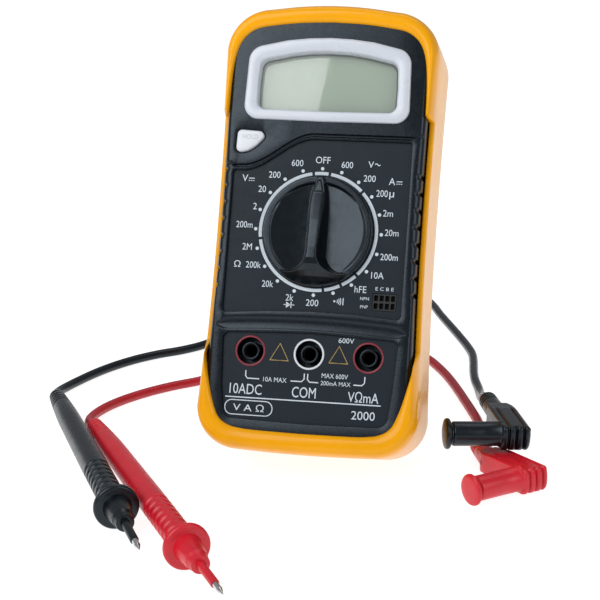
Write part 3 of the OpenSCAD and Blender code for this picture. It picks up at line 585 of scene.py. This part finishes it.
def lip_share(y):
    """1 where the lip covers the casing's rim, 0 where the side wall is cut down."""
    return max(smooth_step(y, 37.6, 38.2), 1 - smooth_step(y, -42, -35.5))


def make_holster():
    loop = mirrored(half_outline(34.3, 74.5, 71.4, 15, 13.5, side_steps=180))
    out = normals(loop)
    edge = mirrored([(p.x, p.y) for p in smooth_route([(x, y, 0) for x, y in LIP_EDGE], 1)])
    widths = [reach(p, n, edge) for p, n in zip(loop, out)]
    rings = []
    for (fixed, wide, high_level), (low_in, low_level) in zip(HIGH_LIP, LOW_WALL):
        ring = []
        for p, n, width in zip(loop, out, widths):
            share = lip_share(p[1])
            high_in = fixed + wide * width
            inset = low_in + (high_in - low_in) * share
            level = low_level + (high_level - low_level) * share
            ring.append((p[0] - n.x * inset, p[1] - n.y * inset, level))
        rings.append(ring)
    for level in (-12, -20, -28):
        rings.append(at(loop, level))
    for t in (0, 22, 45, 68, 90):
        a = math.radians(t)
        rings.append(at(grown(loop, -3 * (1 - math.cos(a))), HOLSTER_BACK + 3 - 3 * math.sin(a)))
    build = Build()
    build.loft(rings)
    bed = bed_outline()
    build.fill([[(p[0], p[1]) for p in rings[-1]], grown(bed, 0.3)], HOLSTER_BACK)
    depth = HOLSTER_BACK + 2.7
    build.loft([at(grown(bed, 0.3), HOLSTER_BACK), at(grown(bed, 0.08), HOLSTER_BACK + 0.1),
                at(bed, HOLSTER_BACK + 0.35), at(bed, depth)])
    build.fill([bed], depth)
    holster = build.made("holster_shell", angle=50)
    for vertex in holster.data.vertices:
        vertex.co.z = max(vertex.co.z, 0)
    return add(holster, "holster_rubber", replaces=["holster"])


def bed_outline():
    """The recess in the back that the folded stand lies in."""
    return round_box((0, -16.25), (48.8, 101.5), 1.2)


def round_box(middle, size, r, n=6):
    x, y = size[0] / 2 - r, size[1] / 2 - r
    mx, my = middle
    return (arc(mx + x, my - y, r, -90, 0, n) + arc(mx + x, my + y, r, 0, 90, n)
            + arc(mx - x, my + y, r, 90, 180, n) + arc(mx - x, my - y, r, 180, 270, n))


# ---------------------------------------------------------------- casing

# levels above the dial label: the casing's front, the step to the display's end, and the labels
RIM = 0.9
STEP = 0.4
LABEL = 0.0
JACKS = (-19.05, 0, 19.05)
JACK_ROW = -39.3
SOCKET = (22.9, -21.5)
SHOULDER = [(-70, 2.4), (-60, 2.8), (-44, 2.3), (-32, 1.6), (-26, 1.2), (-20, 1.4), (-6, 2.0), (4, 2.4),
            (20, 2.4), (33, 1.9), (54, 2.3), (72, 2.3)]


def swoosh(x):
    """Top edge of the dial panel, which curves up from the left."""
    if x < -26.5:
        return 18.9
    if x > -3:
        return 29.7
    return 24.3 - 5.4 * math.cos(math.pi * (x + 26.5) / 23.5)


def raised(x, y):
    """The display's end of the casing stands a little higher."""
    edge = swoosh(x) + 1.5 if x < 29 else 31.2
    return STEP * smooth_step(y, edge + 0.3, edge + 1.1)


def dial_outline():
    top = [(x, swoosh(x)) for x in [27.4 - i * 56 / 60 for i in range(61)] if x > -28]
    return (arc(-27.7, -25.9, 1.4, 180, 270, 6) + [(-14, -26.2), (0, -25.7), (14, -25.9)]
            + arc(27.1, -25.5, 1.4, 270, 360, 6) + arc(27.5, 28.7, 1, 0, 90, 5) + top
            + arc(-28.1, 18, 1, 100, 180, 5))


def jack_outline():
    return (arc(-23.2, -57.6, 3.4, 190, 268, 10) + [(-12, -61.3), (0, -61.5), (12, -61.3)]
            + arc(23.2, -57.6, 3.4, 272, 350, 10) + [(27.4, -50)] + arc(26, -35.8, 2.2, 0, 85, 8)
            + [(12, -33), (0, -32.6), (-12, -33)] + arc(-26, -35.8, 2.2, 95, 180, 8) + [(-27.6, -50)])


def hold_outline(grow=0.0):
    r = 1.5 + grow
    return (arc(-26.8, 30.3, r, 90, 180, 7) + arc(-26.9, 26.1, r, 180, 285, 8)
            + [(-24.6, 25.1 - grow), (-23.2, 25.9 - grow * 0.9), (-21.8, 27 - grow * 0.8),
               (-20.6, 28.3 - grow * 0.5)]
            + arc(-21.1, 30, r, -30, 88, 8))


def tapered(width, end, taper):
    """Half width of a groove that runs out to a point at both ends."""
    return lambda x: width * math.sqrt(max(0.003, min(1, (end - abs(x)) / taper)))


# the groove beside the raised line, and the valley between the two panels: spots along X, middle
# line, half width and depth
SWOOSH_GROOVE = ([-29.6 + i * 59.2 / 90 for i in range(91)], lambda x: swoosh(x) + 1.35,
                 tapered(0.66, 29.9, 2), 0.75)
VALLEY_GROOVE = ([-30.6 + i * 61.2 / 60 for i in range(61)], lambda x: -29.9 - x * x / 700,
                 tapered(2.1, 31, 4), 0.5)


def groove_edge(xs, middle, half, depth):
    return ([(x, middle(x) - half(x)) for x in xs]
            + [(x, middle(x) + half(x)) for x in reversed(xs)])


def cut_groove(build, xs, middle, half, depth):
    rows = []
    for x in xs:
        low, high = (RIM + raised(x, middle(x) + side * half(x)) for side in (-1, 1))
        row = []
        for i in range(13):
            u = -1 + i / 6
            sink = depth * min(1, half(x) / 0.5) * (1 - u * u) ** 0.8
            row.append((x, middle(x) + half(x) * u, low + (high - low) * (u + 1) / 2 - sink))
        rows.append(row)
    build.loft(rows, closed=False)


def notch(y):
    """Depth of the grip's notches at a height on the side."""
    depth = 0
    for i in range(8):
        depth = max(depth, 1 - ((y - (19 - 5.4 * i)) / 0.75) ** 2)
    return 0.75 * depth


def casing_rings(loop, out):
    """Rings up the casing's side and over its shoulder: a level and the part of the shoulder there."""
    rings = []
    for level, part in ((-15, 0), (-9, 0), (-6.5, 0), (-4, 0), (-2, 0.02), (-1.1, 0.07), (-0.4, 0.17),
                        (0.15, 0.33), (0.55, 0.55), (0.8, 0.78), (RIM, 1)):
        ring = []
        for p, n in zip(loop, out):
            side = smooth_step(abs(n.x), 0.9, 0.98)
            shoulder = 1.9 + (between(p[1], SHOULDER) - 1.9) * side
            inset = shoulder * part
            if level > -7 and abs(p[1]) < 20:
                fade = 1 - part * 0.8
                inset += notch(p[1]) * fade * smooth_step(level, -7, -4)
            x, y = p[0] - n.x * inset, p[1] - n.y * inset
            ring.append((x, y, level + raised(x, y) * smooth_step(level, -2, RIM)))
        rings.append(ring)
    return rings


def make_front_casing():
    loop = mirrored(half_outline(32.3, 71.3, 68.2, 13, 11.5, side_steps=260))
    out = normals(loop)
    build = Build()
    rings = casing_rings(loop, out)
    build.loft(rings)
    dial, jack, hold = dial_outline(), jack_outline(), hold_outline(0.3)
    window = grown(window_outline(), 0.4)
    holes = [grown(dial, 0.35), grown(jack, 0.35), grown(hold, 0.35), groove_edge(*SWOOSH_GROOVE),
             groove_edge(*VALLEY_GROOVE), window]
    build.fill([[(p[0], p[1]) for p in rings[-1]]] + holes, lambda x, y: RIM + raised(x, y))
    for edge, floor in ((dial, LABEL), (jack, LABEL), (hold, -1.6)):
        rise = lambda p, level: (p[0], p[1], level + (raised(p[0], p[1]) if edge is hold else 0))
        build.loft([[rise(p, RIM) for p in grown(edge, 0.35)],
                    [rise(p, RIM - 0.1) for p in grown(edge, 0.1)],
                    [rise(p, RIM - 0.3) for p in edge], at(edge, floor - 0.05)])
    build.loft([at(window, RIM + STEP), at(window, -1.2)])
    cut_groove(build, *SWOOSH_GROOVE)
    cut_groove(build, *VALLEY_GROOVE)
    for x in JACKS:
        lathe(build, [(5.1, -0.02), (4.3, -0.05), (4.25, -0.4), (4.25, -6.4), (2.95, -6.4), (2.95, -0.75),
                      (2.85, -0.55), (2.65, -0.45), (2.35, -0.45), (2.2, -0.55), (2.1, -0.8), (2.1, -2.6)],
              (x, JACK_ROW), 48)
    lathe(build, [(8.2, -0.05), (6.58, -0.05), (6.58, -1.6)], steps=64)
    casing = build.made("front_casing_shell")
    return add(casing, "case_plastic", replaces=["front_casing"])


def make_labels():
    """The two printed labels that lie in the panels' recesses."""
    dial = Build()
    edge = grown(dial_outline(), -0.03)
    spindle = [(7.7 * math.cos(a * math.pi / 24), 7.7 * math.sin(a * math.pi / 24)) for a in range(48)]
    dial.fill([edge, spindle, round_box(SOCKET, (7.8, 5.6), 0.2, 2)], LABEL)
    dial.loft([at(edge, LABEL), at(edge, LABEL - 0.25)])
    add(dial.made("dial_label_print"), "label_print", replaces=["dial_label"])
    jack = Build()
    edge = grown(jack_outline(), -0.03)
    jack.fill([edge] + [arc(x, JACK_ROW, 5.02, 0, 352.5, 47) for x in JACKS], LABEL)
    jack.loft([at(edge, LABEL), at(edge, LABEL - 0.25)])
    add(jack.made("jack_label_print"), "label_print", replaces=["jack_label"])


def make_socket():
    """The transistor socket: two rows of four square wells with raised rims."""
    build = Build()
    edge = round_box(SOCKET, (7.6, 5.4), 0.3, 3)
    wells = [round_box((22.9 - 2.7 + 1.8 * i, -22.75 + 2.5 * j), (1.15, 1.7), 0.15, 2)
             for i in range(4) for j in (0, 1)]
    build.fill([grown(edge, -0.15)] + [grown(w, 0.12) for w in wells], 0.12)
    build.loft([at(edge, -6), at(edge, 0), at(grown(edge, -0.15), 0.12)])
    for well in wells:
        build.loft([at(grown(well, 0.12), 0.12), at(grown(well, 0.04), 0.2), at(well, 0.1), at(well, -2.4)],
                   end=True)
    add(build.made("transistor_wells"), "socket_plastic", replaces=["transistor_socket"])


def make_jack_rings():
    names = (("10a", "ring_red"), ("com", "ring_white"), ("ma", "ring_red"))
    for x, (name, slot) in zip(JACKS, names):
        build = Build()
        lathe(build, [(4.95, -0.2), (4.95, 0.1), (4.88, 0.22), (4.7, 0.3), (4.5, 0.3), (4.36, 0.22),
                      (4.3, 0.05), (4.3, -0.3), (4.95, -0.2)], (x, JACK_ROW), 64)
        add(build.made("jack_ring_" + name + "_bead"), slot, replaces=["jack_ring_" + name])


# ---------------------------------------------------------------- display

def bezel_outline():
    return (arc(-22.2, 40.3, 4.7, 180, 270, 10) + [(-11, 35.5), (0, 35.4), (11, 35.5)]
            + arc(22.2, 40.3, 4.7, 270, 360, 10) + [(26.7, 48)]
            + arc(21.2, 54.6, 5.3, 0, 78, 10) + [(14, 61.7), (7, 62.5), (0, 62.8), (-7, 62.5), (-14, 61.7)]
            + arc(-21.2, 54.6, 5.3, 102, 180, 10) + [(-26.7, 48)])


def window_outline():
    return (arc(-19.8, 41.7, 2.6, 180, 270, 10) + [(-10, 39), (0, 38.9), (10, 39)]
            + arc(19.8, 41.7, 2.6, 270, 360, 10) + [(22.5, 47)]
            + arc(19.3, 52.4, 2.9, 0, 76, 10) + [(12, 57), (6, 57.8), (0, 58), (-6, 57.8), (-12, 57)]
            + arc(-19.3, 52.4, 2.9, 104, 180, 10) + [(-22.5, 47)])


def make_display():
    """The bezel, crowned and rolled in to the window, and a dark sheet under the glass that shows along the
    window's top and right edges: painted shade for the bezel's shadow on the display.
    """
    outer, inner = bezel_outline(), window_outline()

    def mix(t, level):
        return [(a[0] + (b[0] - a[0]) * t, a[1] + (b[1] - a[1]) * t, level) for a, b in zip(outer, inner)]

    build = Build()
    build.loft([at(grown(outer, 0.02), 0.9), at(outer, 1.75), at(grown(outer, -0.1), 2.05),
                at(grown(outer, -0.35), 2.28), at(grown(outer, -0.8), 2.4), mix(0.35, 2.44), mix(0.8, 2.38),
                mix(0.87, 2.24), mix(0.92, 1.9), mix(0.95, 1.4), mix(0.98, 0.7), at(inner, 0.1),
                at(inner, -0.6)])
    add(build.made("display_bezel_frame", angle=60), "bezel_plastic", replaces=["display_bezel"])
    shade_sheet = Build()
    # inner edge moved down and to the left, so the dark sheet shows mainly along the window's top and right edges:
    # painted shade for the bezel's shadow
    inside = [(p[0] * 0.983 - 0.16, p[1] - 0.42 + 0.012 * (48 - p[1])) for p in inner]
    shade_sheet.loft([at(grown(inner, 0.5), -0.7), at(inside, -0.7)])
    add(shade_sheet.made("display_shade_sheet"), "frame_plastic")


# ---------------------------------------------------------------- hold button

def make_hold_button():
    build = Build()
    edge = hold_outline()
    cx, cy = -24.6, 28.6
    crown = [(0.985, 2.2), (0.95, 2.42), (0.88, 2.58), (0.7, 2.68), (0.4, 2.72)]
    rings = [[(cx + (x - cx) * size, cy + (y - cy) * size, level) for x, y in edge]
             for size, level in crown]
    build.loft([at(edge, -1.7), at(edge, 1.9)] + rings, end=True)
    cap = build.made("hold_button_cap", angle=60)
    add(cap, "button_plastic", body="hold_button", replaces=["hold_button"])


# ---------------------------------------------------------------- selector knob

KNOB_RADIUS = 17.8
KNOB_CROWN = 17.6     # where its top rolls over into its side
# along the grip, from its broad end to its pointer: height, and half its width
GRIP_TOP = [(-17.6, 1.6), (-17.2, 2.6), (-16.2, 4.3), (-15, 6.1), (-13.4, 7.9), (-11.4, 9), (-9.4, 9.4),
            (-6, 9.1), (-2, 8.2), (3, 6.9), (8, 5.3), (12, 4), (16, 3), (17.4, 2.7)]
GRIP_HALF = [(-8, 3.1), (0, 3.05), (7, 2.95), (10, 2.75), (12.4, 2.4), (15, 1.7), (16.6, 1.05),
             (17.4, 0.6)]


def grip_depth(x, y):
    """How far inside the grip a spot is: positive inside, negative in the finger hollows."""
    side = abs(x)
    if y > -7.4:
        return between(y, GRIP_HALF) - side
    return math.hypot(side - 9.2, y + 7.4) - 6.1


def knob_height(x, y):
    r = math.hypot(x, y)
    rim = 2.3 - 0.25 * smooth_step(r, 15.9, 15.5)
    hollow = 1.35 + 1.5 * (abs(x) / 13) ** 2 - 0.6 * smooth_step(y, -14, 4)
    base = hollow + (rim - hollow) * smooth_step(r, 15.0, 15.9)
    inside = grip_depth(x, y)
    wall = base + max(0, inside + 0.35) * 4.2
    top = between(y, GRIP_TOP) - 0.045 * x * x * smooth_step(abs(x), 0, 3)
    if wall < top:
        gap = top - wall
        height = wall if gap > 0.9 else wall - 0.28 * (0.9 - gap) ** 2
    else:
        gap = wall - top
        height = top if gap > 0.9 else top - 0.28 * (0.9 - gap) ** 2
    height = max(base, height) if inside > -0.35 else base
    pane = 1.6 - 0.27 * (y - 12.4)
    if 12.4 < y < 16.3 and abs(x) < pane:
        edge = min(y - 12.4, 16.3 - y, pane - abs(x))
        height -= 0.22 * (1 - smooth_step(edge, 0.1, 0.32))
    return height * (1 - 0.06 * smooth_step(r, 17.2, 17.8))


def make_knob():
    rings = []
    steps = 420
    radii = [0.02] + [KNOB_CROWN * i / 118 for i in range(1, 119)]
    for r in radii:
        ring = []
        for i in range(steps):
            a = 2 * math.pi * i / steps
            x, y = r * math.cos(a), r * math.sin(a)
            ring.append((x, y, knob_height(x, y)))
        rings.append(ring)
    for r, drop in ((17.73, 0.14), (KNOB_RADIUS, 0.4)):
        rings.append([(p[0] * r / KNOB_CROWN, p[1] * r / KNOB_CROWN, p[2] - drop)
                      for p in rings[len(radii) - 1]])
    rings.append([(p[0], p[1], 0.45) for p in rings[-1]])
    rings.append([(p[0] * 0.37, p[1] * 0.37, 0.4) for p in rings[-1]])
    rings.append([(p[0], p[1], -1.75) for p in rings[-1]])
    build = Build()
    build.loft(rings, start=True)
    add(build.made("selector_knob", angle=75), "knob_plastic", body="selector", replaces=["range_knob"])


# ---------------------------------------------------------------- printing

def ink(name, build, body="meter"):
    obj = build.made(name)
    obj.data.materials.append(INK)
    bpy.context.collection.objects.link(obj)
    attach(obj, body)
    return obj


def lettering(name, words, box, level=0.05, body="meter", finish=None):
    """Flat lettering that fills a box (x0, y0, x1, y1) on the face."""
    curve = bpy.data.curves.new(name, "FONT")
    curve.body = words
    curve.size = 1
    curve.resolution_u = 3
    text = bpy.data.objects.new(name, curve)
    bpy.context.collection.objects.link(text)
    bpy.context.view_layer.update()
    mesh = bpy.data.meshes.new_from_object(text.evaluated_get(bpy.context.evaluated_depsgraph_get()))
    bpy.data.objects.remove(text)
    xs = [v.co.x for v in mesh.vertices]
    ys = [v.co.y for v in mesh.vertices]
    x0, y0, x1, y1 = box
    wide = (x1 - x0) / (max(xs) - min(xs))
    high = (y1 - y0) / (max(ys) - min(ys))
    for vertex in mesh.vertices:
        x = x0 + (vertex.co.x - min(xs)) * wide
        y = y0 + (vertex.co.y - min(ys)) * high
        vertex.co = FACE @ Vector((x, y, level))
    obj = bpy.data.objects.new(name, mesh)
    mesh.materials.clear()
    mesh.materials.append(finish or INK)
    bpy.context.collection.objects.link(obj)
    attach(obj, body)


def strip(build, points, width, level=0.05):
    """A printed line of that width along points."""
    left, right = [], []
    for i, p in enumerate(points):
        a, b = Vector(points[max(i - 1, 0)]), Vector(points[min(i + 1, len(points) - 1)])
        d = (b - a).normalized()
        side = Vector((-d.y, d.x)) * width / 2
        left.append((p[0] + side.x, p[1] + side.y, level))
        right.append((p[0] - side.x, p[1] - side.y, level))
    first = build.ring(left)
    second = build.ring(right)
    build.bridge(first, second, closed=False)


def disc(build, x, y, r, level=0.05, n=20):
    turns = [2 * math.pi * i / n for i in range(n)]
    build.faces.append(tuple(build.ring([(x + r * math.cos(t), y + r * math.sin(t), level) for t in turns])))


# printed words and the box on the face that each fills: left, low, right and high
LABELS = [
    ("600", (-10.2, 20.9, -6.4, 23.0)), ("OFF", (-2.4, 22.1, 2.4, 24.3)),
    ("600", (6.1, 20.9, 9.8, 23.0)), ("V", (14.7, 21.3, 16.5, 23.4)), ("200", (13.5, 16.8, 17.4, 18.9)),
    ("A", (21.7, 16.1, 23.7, 18.3)), ("200", (17.9, 12.1, 21.6, 14.3)), ("2m", (20.5, 5.9, 23.7, 8.0)),
    ("20m", (21.5, -0.3, 25.9, 1.8)), ("200m", (20.6, -8.1, 26.2, -6.0)),
    ("10A", (18.1, -14.1, 22.1, -12.0)), ("hFE", (13.1, -18.8, 16.9, -16.7)),
    ("200", (-2.2, -23.9, 1.8, -21.8)), ("2k", (-8.9, -22.6, -6.4, -20.5)),
    ("20k", (-17, -18.6, -13.3, -16.5)), ("200k", (-22.7, -12.7, -17.8, -10.6)),
    ("Ω", (-26.6, -12.6, -24.5, -10.5)), ("2M", (-24.3, -6.9, -21.2, -4.8)),
    ("200m", (-26.9, 0.2, -21.5, 2.3)), ("2", (-21.8, 6.3, -20.6, 8.4)), ("20", (-20.5, 12, -18, 14.1)),
    ("200", (-17.4, 16.8, -13.6, 18.9)), ("V", (-26.1, 15.3, -24.2, 17.5)),
    ("10ADC", (-24.9, -53.2, -14.4, -49.9)), ("COM", (-4.6, -53.2, 3.1, -49.8)),
    ("VΩmA", (13.4, -53.5, 23.2, -50.1)), ("10A MAX", (-14.2, -48.8, -6.6, -47.3)),
    ("MAX 600V", (4.6, -46.5, 13, -45)), ("200mA MAX", (4.4, -48.8, 14, -47.4)),
    ("600V", (9.2, -35.1, 14.2, -33.5)), ("2000", (14.9, -58.9, 22.4, -56.2)),
    ("V A Ω", (-23.3, -58.6, -13.3, -56.3)), ("E C B E", (19.8, -17.8, 25.6, -16.7)),
    ("NPN", (15.1, -21.1, 17.9, -20.1)), ("PNP", (15.3, -23.7, 17.7, -22.7)),
]
GAPS = [7.5, 351.5, 45, 135, 153, 171, 261]   # clockwise from the top, in degrees


def make_printing():
    for i, (words, box) in enumerate(LABELS):
        lettering("print_%02d" % i, words, box)
    lettering("print_micro", "µ", (22.1, 11.5, 23.6, 13.8))
    marks = Build()
    for k in range(20):
        a = math.radians(90 - 18 * k)
        disc(marks, 20.4 * math.cos(a), 20.4 * math.sin(a), 0.56)
    for k, a in enumerate(sorted(GAPS)):
        later = sorted(GAPS)[(k + 1) % len(GAPS)] + (360 if k == len(GAPS) - 1 else 0)
        low, high = 90 - a - 1.3, 90 - later + 1.3
        count = max(2, int(abs(high - low) / 2))
        points = []
        for i in range(count + 1):
            b = low + (high - low) * i / count
            points.append((18.85 * math.cos(math.radians(b)), 18.85 * math.sin(math.radians(b))))
        strip(marks, points, 1.05)
    wave = [(16.9 + 1.7 * i / 10, 22.4 + 0.3 * math.sin(2 * math.pi * i / 10)) for i in range(11)]
    strip(marks, wave, 0.28)
    for x, y in ((24.1, 17.2), (-23.9, 16.4)):
        strip(marks, [(x, y), (x + 1.9, y)], 0.26)
        for i in range(3):
            strip(marks, [(x + 0.7 * i, y - 0.75), (x + 0.7 * i + 0.45, y - 0.75)], 0.24)
    strip(marks, [(-26.1, -54.3), (24, -54.1)], 0.36)
    for points in ([(-20, -45.6), (-20, -47.3), (-19.4, -48.1), (-15.5, -48.1)],
                   [(-5.3, -48.1), (-1.8, -48.1), (-1.0, -47.3), (-1.0, -45.5)],
                   [(0.1, -45.5), (0.1, -47.3), (0.8, -48.1), (3.6, -48.1)],
                   [(14.9, -48.1), (17.6, -48.1), (18.4, -47.3), (18.4, -45.3)]):
        strip(marks, points, 0.36)
    # diode sign and buzzer sign
    strip(marks, [(-9.4, -23.9), (-5.9, -23.9)], 0.24)
    strip(marks, [(-7, -22.9), (-7, -24.9)], 0.3)
    tri = marks.ring([(-8.6, -22.9, 0.05), (-8.6, -24.9, 0.05), (-7.1, -23.9, 0.05)])
    marks.faces.append(tuple(tri))
    disc(marks, 6.9, -21.95, 0.34)
    for k, r in enumerate((1.0, 1.55, 2.1)):
        strip(marks, arc(6.9, -21.95, r, -32, 32, 6), 0.26)
    strip(marks, [(9.7, -20.8), (9.7, -23.1)], 0.3)
    badge = round_box((-18.3, -57.5), (15.4, 4.6), 2.2, 8)
    strip(marks, badge + badge[:2], 0.3)
    ink("print_marks", marks)
    signs = Build()
    for x, y in ((-9.5, -41.8), (9.6, -41.6)):
        corners = [(x - 3, y), (x + 3, y), (x, y + 5.4), (x - 3, y), (x + 3, y)]
        strip(signs, corners[:4] + corners[1:2], 0.3)
    obj = ink("print_triangles", signs)
    obj.data.materials[0] = material("print_amber", srgb(178, 150, 88), 0.5, 0.05, 300, 0.1)
    lettering("print_hold", "HOLD", (-26.4, 28.7, -21.4, 30.2), 2.74, "hold_button",
              material("print_grey", srgb(168, 172, 178), 0.5, 0.04, 300, 0.1))


# ---------------------------------------------------------------- test leads

def turned(x=0, y=0, z=0):
    """Turned about X, then Y, then Z, in degrees."""
    return (Matrix.Rotation(math.radians(z), 4, "Z") @ Matrix.Rotation(math.radians(y), 4, "Y")
            @ Matrix.Rotation(math.radians(x), 4, "X"))


def plug_matrix(colour):
    plug = PLUGS[colour]
    return ROW @ Matrix.Translation(plug["at"]) @ turned(*plug["pose"])


HEAD_BACK = [(-4.2, -15), (-1.8, -21), (4.6, -21), (5.3, -19)]
HEAD_TOP = [(-21, 3.4), (-14, 3.8), (3, 3.7)]
HEAD_LOW = [(-21, -3.4), (-8, -4.8), (3, -4.8)]


def head_groove(x, places):
    return max(math.exp(-((x - c) / 0.45) ** 2) for c in places)


def head_slice(x):
    """One slice of the plug's head across the pin: Y towards the front and Z up."""
    radius = 1.7 if x < 0 else 0.8
    edge = max(0, -2.5 - x, x - 4.5) / radius
    inset = radius * (1 - math.sqrt(max(0, 1 - edge * edge)))
    back = between(x, HEAD_BACK) + inset
    front, both = head_groove(x, (-1.9, 0.6, 3.1)), head_groove(x, (-1.9, 3.1))
    points = []
    for i in range(25):                                # top, from the back to the front edge
        y = back + (3.1 - back) * i / 24
        slot = 0.8 * both * smooth_step(y, -14.4, -13.6)
        points.append((x, y, between(y, HEAD_TOP) - inset - slot))
    cut = 0.95 * front
    nose = [(3.6, 3.55), (4.0, 3.2), (4.25, 2.6), (4.45, 1.4), (4.5, 0), (4.45, -1.5), (4.25, -2.8),
            (3.8, -3.8), (3.1, -4.5), (2.2, -4.8)]
    for y, z in nose:
        fade = smooth_step(z, -4.9, -4.2)
        up = 1 if z > 0 else -1
        points.append((x, y - inset - cut * fade, z - (inset + 0.5 * both * (1 - fade)) * up * 0.7))
    for i in range(1, 13):                             # underneath, back again
        y = 2.2 + (back - 2.2) * i / 12
        points.append((x, y, between(y, HEAD_LOW) + inset))
    for i in range(1, 6):                              # end wall
        z0, z1 = between(back, HEAD_LOW) + inset, between(back, HEAD_TOP) - inset
        points.append((x, back, z0 + (z1 - z0) * i / 6))
    return points


def make_plug(colour):
    build = Build()
    xs = ([-4.2, -4.18, -4.13, -4.05, -3.95, -3.8, -3.6, -3.4] + [-3.2 + 0.13 * i for i in range(59)]
          + [4.5, 4.9, 5.15, 5.27, 5.3])
    build.loft([head_slice(x) for x in xs], start=True, end=True)
    along = turned(y=90)
    lathe(build, [(4.4, 4.6), (4.4, 5.5), (4.25, 5.75), (4.02, 6), (3.98, 12), (4, 20.4), (3.92, 20.8),
                  (3.7, 21), (3.1, 21), (3.1, 10)], steps=56, place=along)
    bend = PLUGS[colour]["bend"]
    relief = Matrix.Translation((1.4, -20, 0)) @ turned(x=90 - bend[0], z=bend[1])
    profile = []
    for i in range(71):
        s = -2 + 16.2 * i / 70
        r = 3.4 - 0.3 * max(0, s) / 14.5
        r -= 0.5 * max(math.exp(-((s - c) / 0.42) ** 4) for c in (8.0, 10.0, 12.0))
        profile.append((r - (0.4 * smooth_step(s, 13.4, 14.3)), s))
    profile += [(2.2, 14.45), (1.7, 14.5), (1.7, 13)]
    lathe(build, profile, steps=44, place=relief)
    body = build.made("plug_" + colour, plug_matrix(colour), 55)
    return add(body, "lead_plastic_" + colour, replaces=["plug_body_" + colour])


def make_cap(colour):
    build = Build()
    along = turned(y=90)
    lathe(build, [(0.01, 23.6), (2.5, 23.58), (4.2, 23.48), (4.68, 23.32), (4.95, 23.02), (5.05, 22.6),
                  (5, 22.25), (4.75, 21.95), (4.1, 21.8), (3.7, 21.65), (3.6, 21.4), (3.6, 21.1),
                  (3.04, 21.1), (3.04, 17.6), (2.2, 17.5), (2.2, 20.5)], steps=56, place=along)
    cap = build.made("cap_" + colour, plug_matrix(colour), 50)
    return add(cap, "lead_plastic_" + colour, body="plug_cap_" + colour, replaces=["plug_cap_" + colour])


def handle_radius(s):
    """The handle swells from its tail to its grip."""
    if s < 34:
        return 2.75 + 1.2 * math.sin(math.pi / 2 * s / 34)
    return 3.95 + 0.27 * min(1, (s - 34) / 40)


def handle_profile():
    profile = [(1.8, 0), (2.5, 0), (2.75, 0.3)]
    s = 0.6
    while s < GUARD_AT - 4:
        r = handle_radius(s)
        if 2 < s < 15:
            r -= 0.34 * max(0, math.sin((s - 2) * 2 * math.pi / 2.6)) ** 0.7
        if 79 < s < 106.5:
            r -= 0.62 * max(0, -math.sin((s - 79) * 2 * math.pi / 3.9)) ** 0.8
        profile.append((r, s))
        s += 0.3
    # the finger guard, the nose and the sleeve round the tip
    ahead = [(4.25, -3.4), (4.5, -2.6), (5.2, -1.9), (6.2, -1.5), (6.75, -1.2), (GUARD_RADIUS, -0.6),
             (6.98, 0.3), (6.7, 0.85), (6.2, 1.05), (5.0, 0.95), (4.35, 1.1), (4.2, 1.6), (4.0, 3),
             (3.45, 8.6), (3.25, 9.6), (3.3, 9.8), (3.3, 10.1), (2.95, 10.5), (2.85, 13), (2.7, 13.5),
             (2.4, 13.6), (1.45, 13.6), (1.3, 14.2), (1.3, 26.5), (1.22, 26.75), (0.95, 26.8)]
    return profile + [(r, GUARD_AT + s) for r, s in ahead]


def make_probe(colour):
    build = Build()
    lathe(build, handle_profile(), steps=56)
    handle = build.made("probe_" + colour, probe_matrix(colour), 50)
    return add(handle, "lead_plastic_" + colour, replaces=["probe_handle_" + colour])


# ---------------------------------------------------------------- the whole

INK = print_ink()
set_camera()
cables = {colour: make_cable(colour) for colour in ("black", "red")}
set_stage()
for name, part in frame["nodes"].items():
    part.data.materials.clear()
    part.data.materials.append(finish_of(slot_of[name]))
make_holster()
make_front_casing()
make_labels()
make_socket()
make_jack_rings()
make_display()
make_hold_button()
make_knob()
make_printing()
for colour, (cable, leaves, length) in cables.items():
    pieces = [make_plug(colour), make_cap(colour), make_probe(colour),
              frame["nodes"]["probe_tip_" + colour], frame["nodes"]["plug_pin_" + colour]]
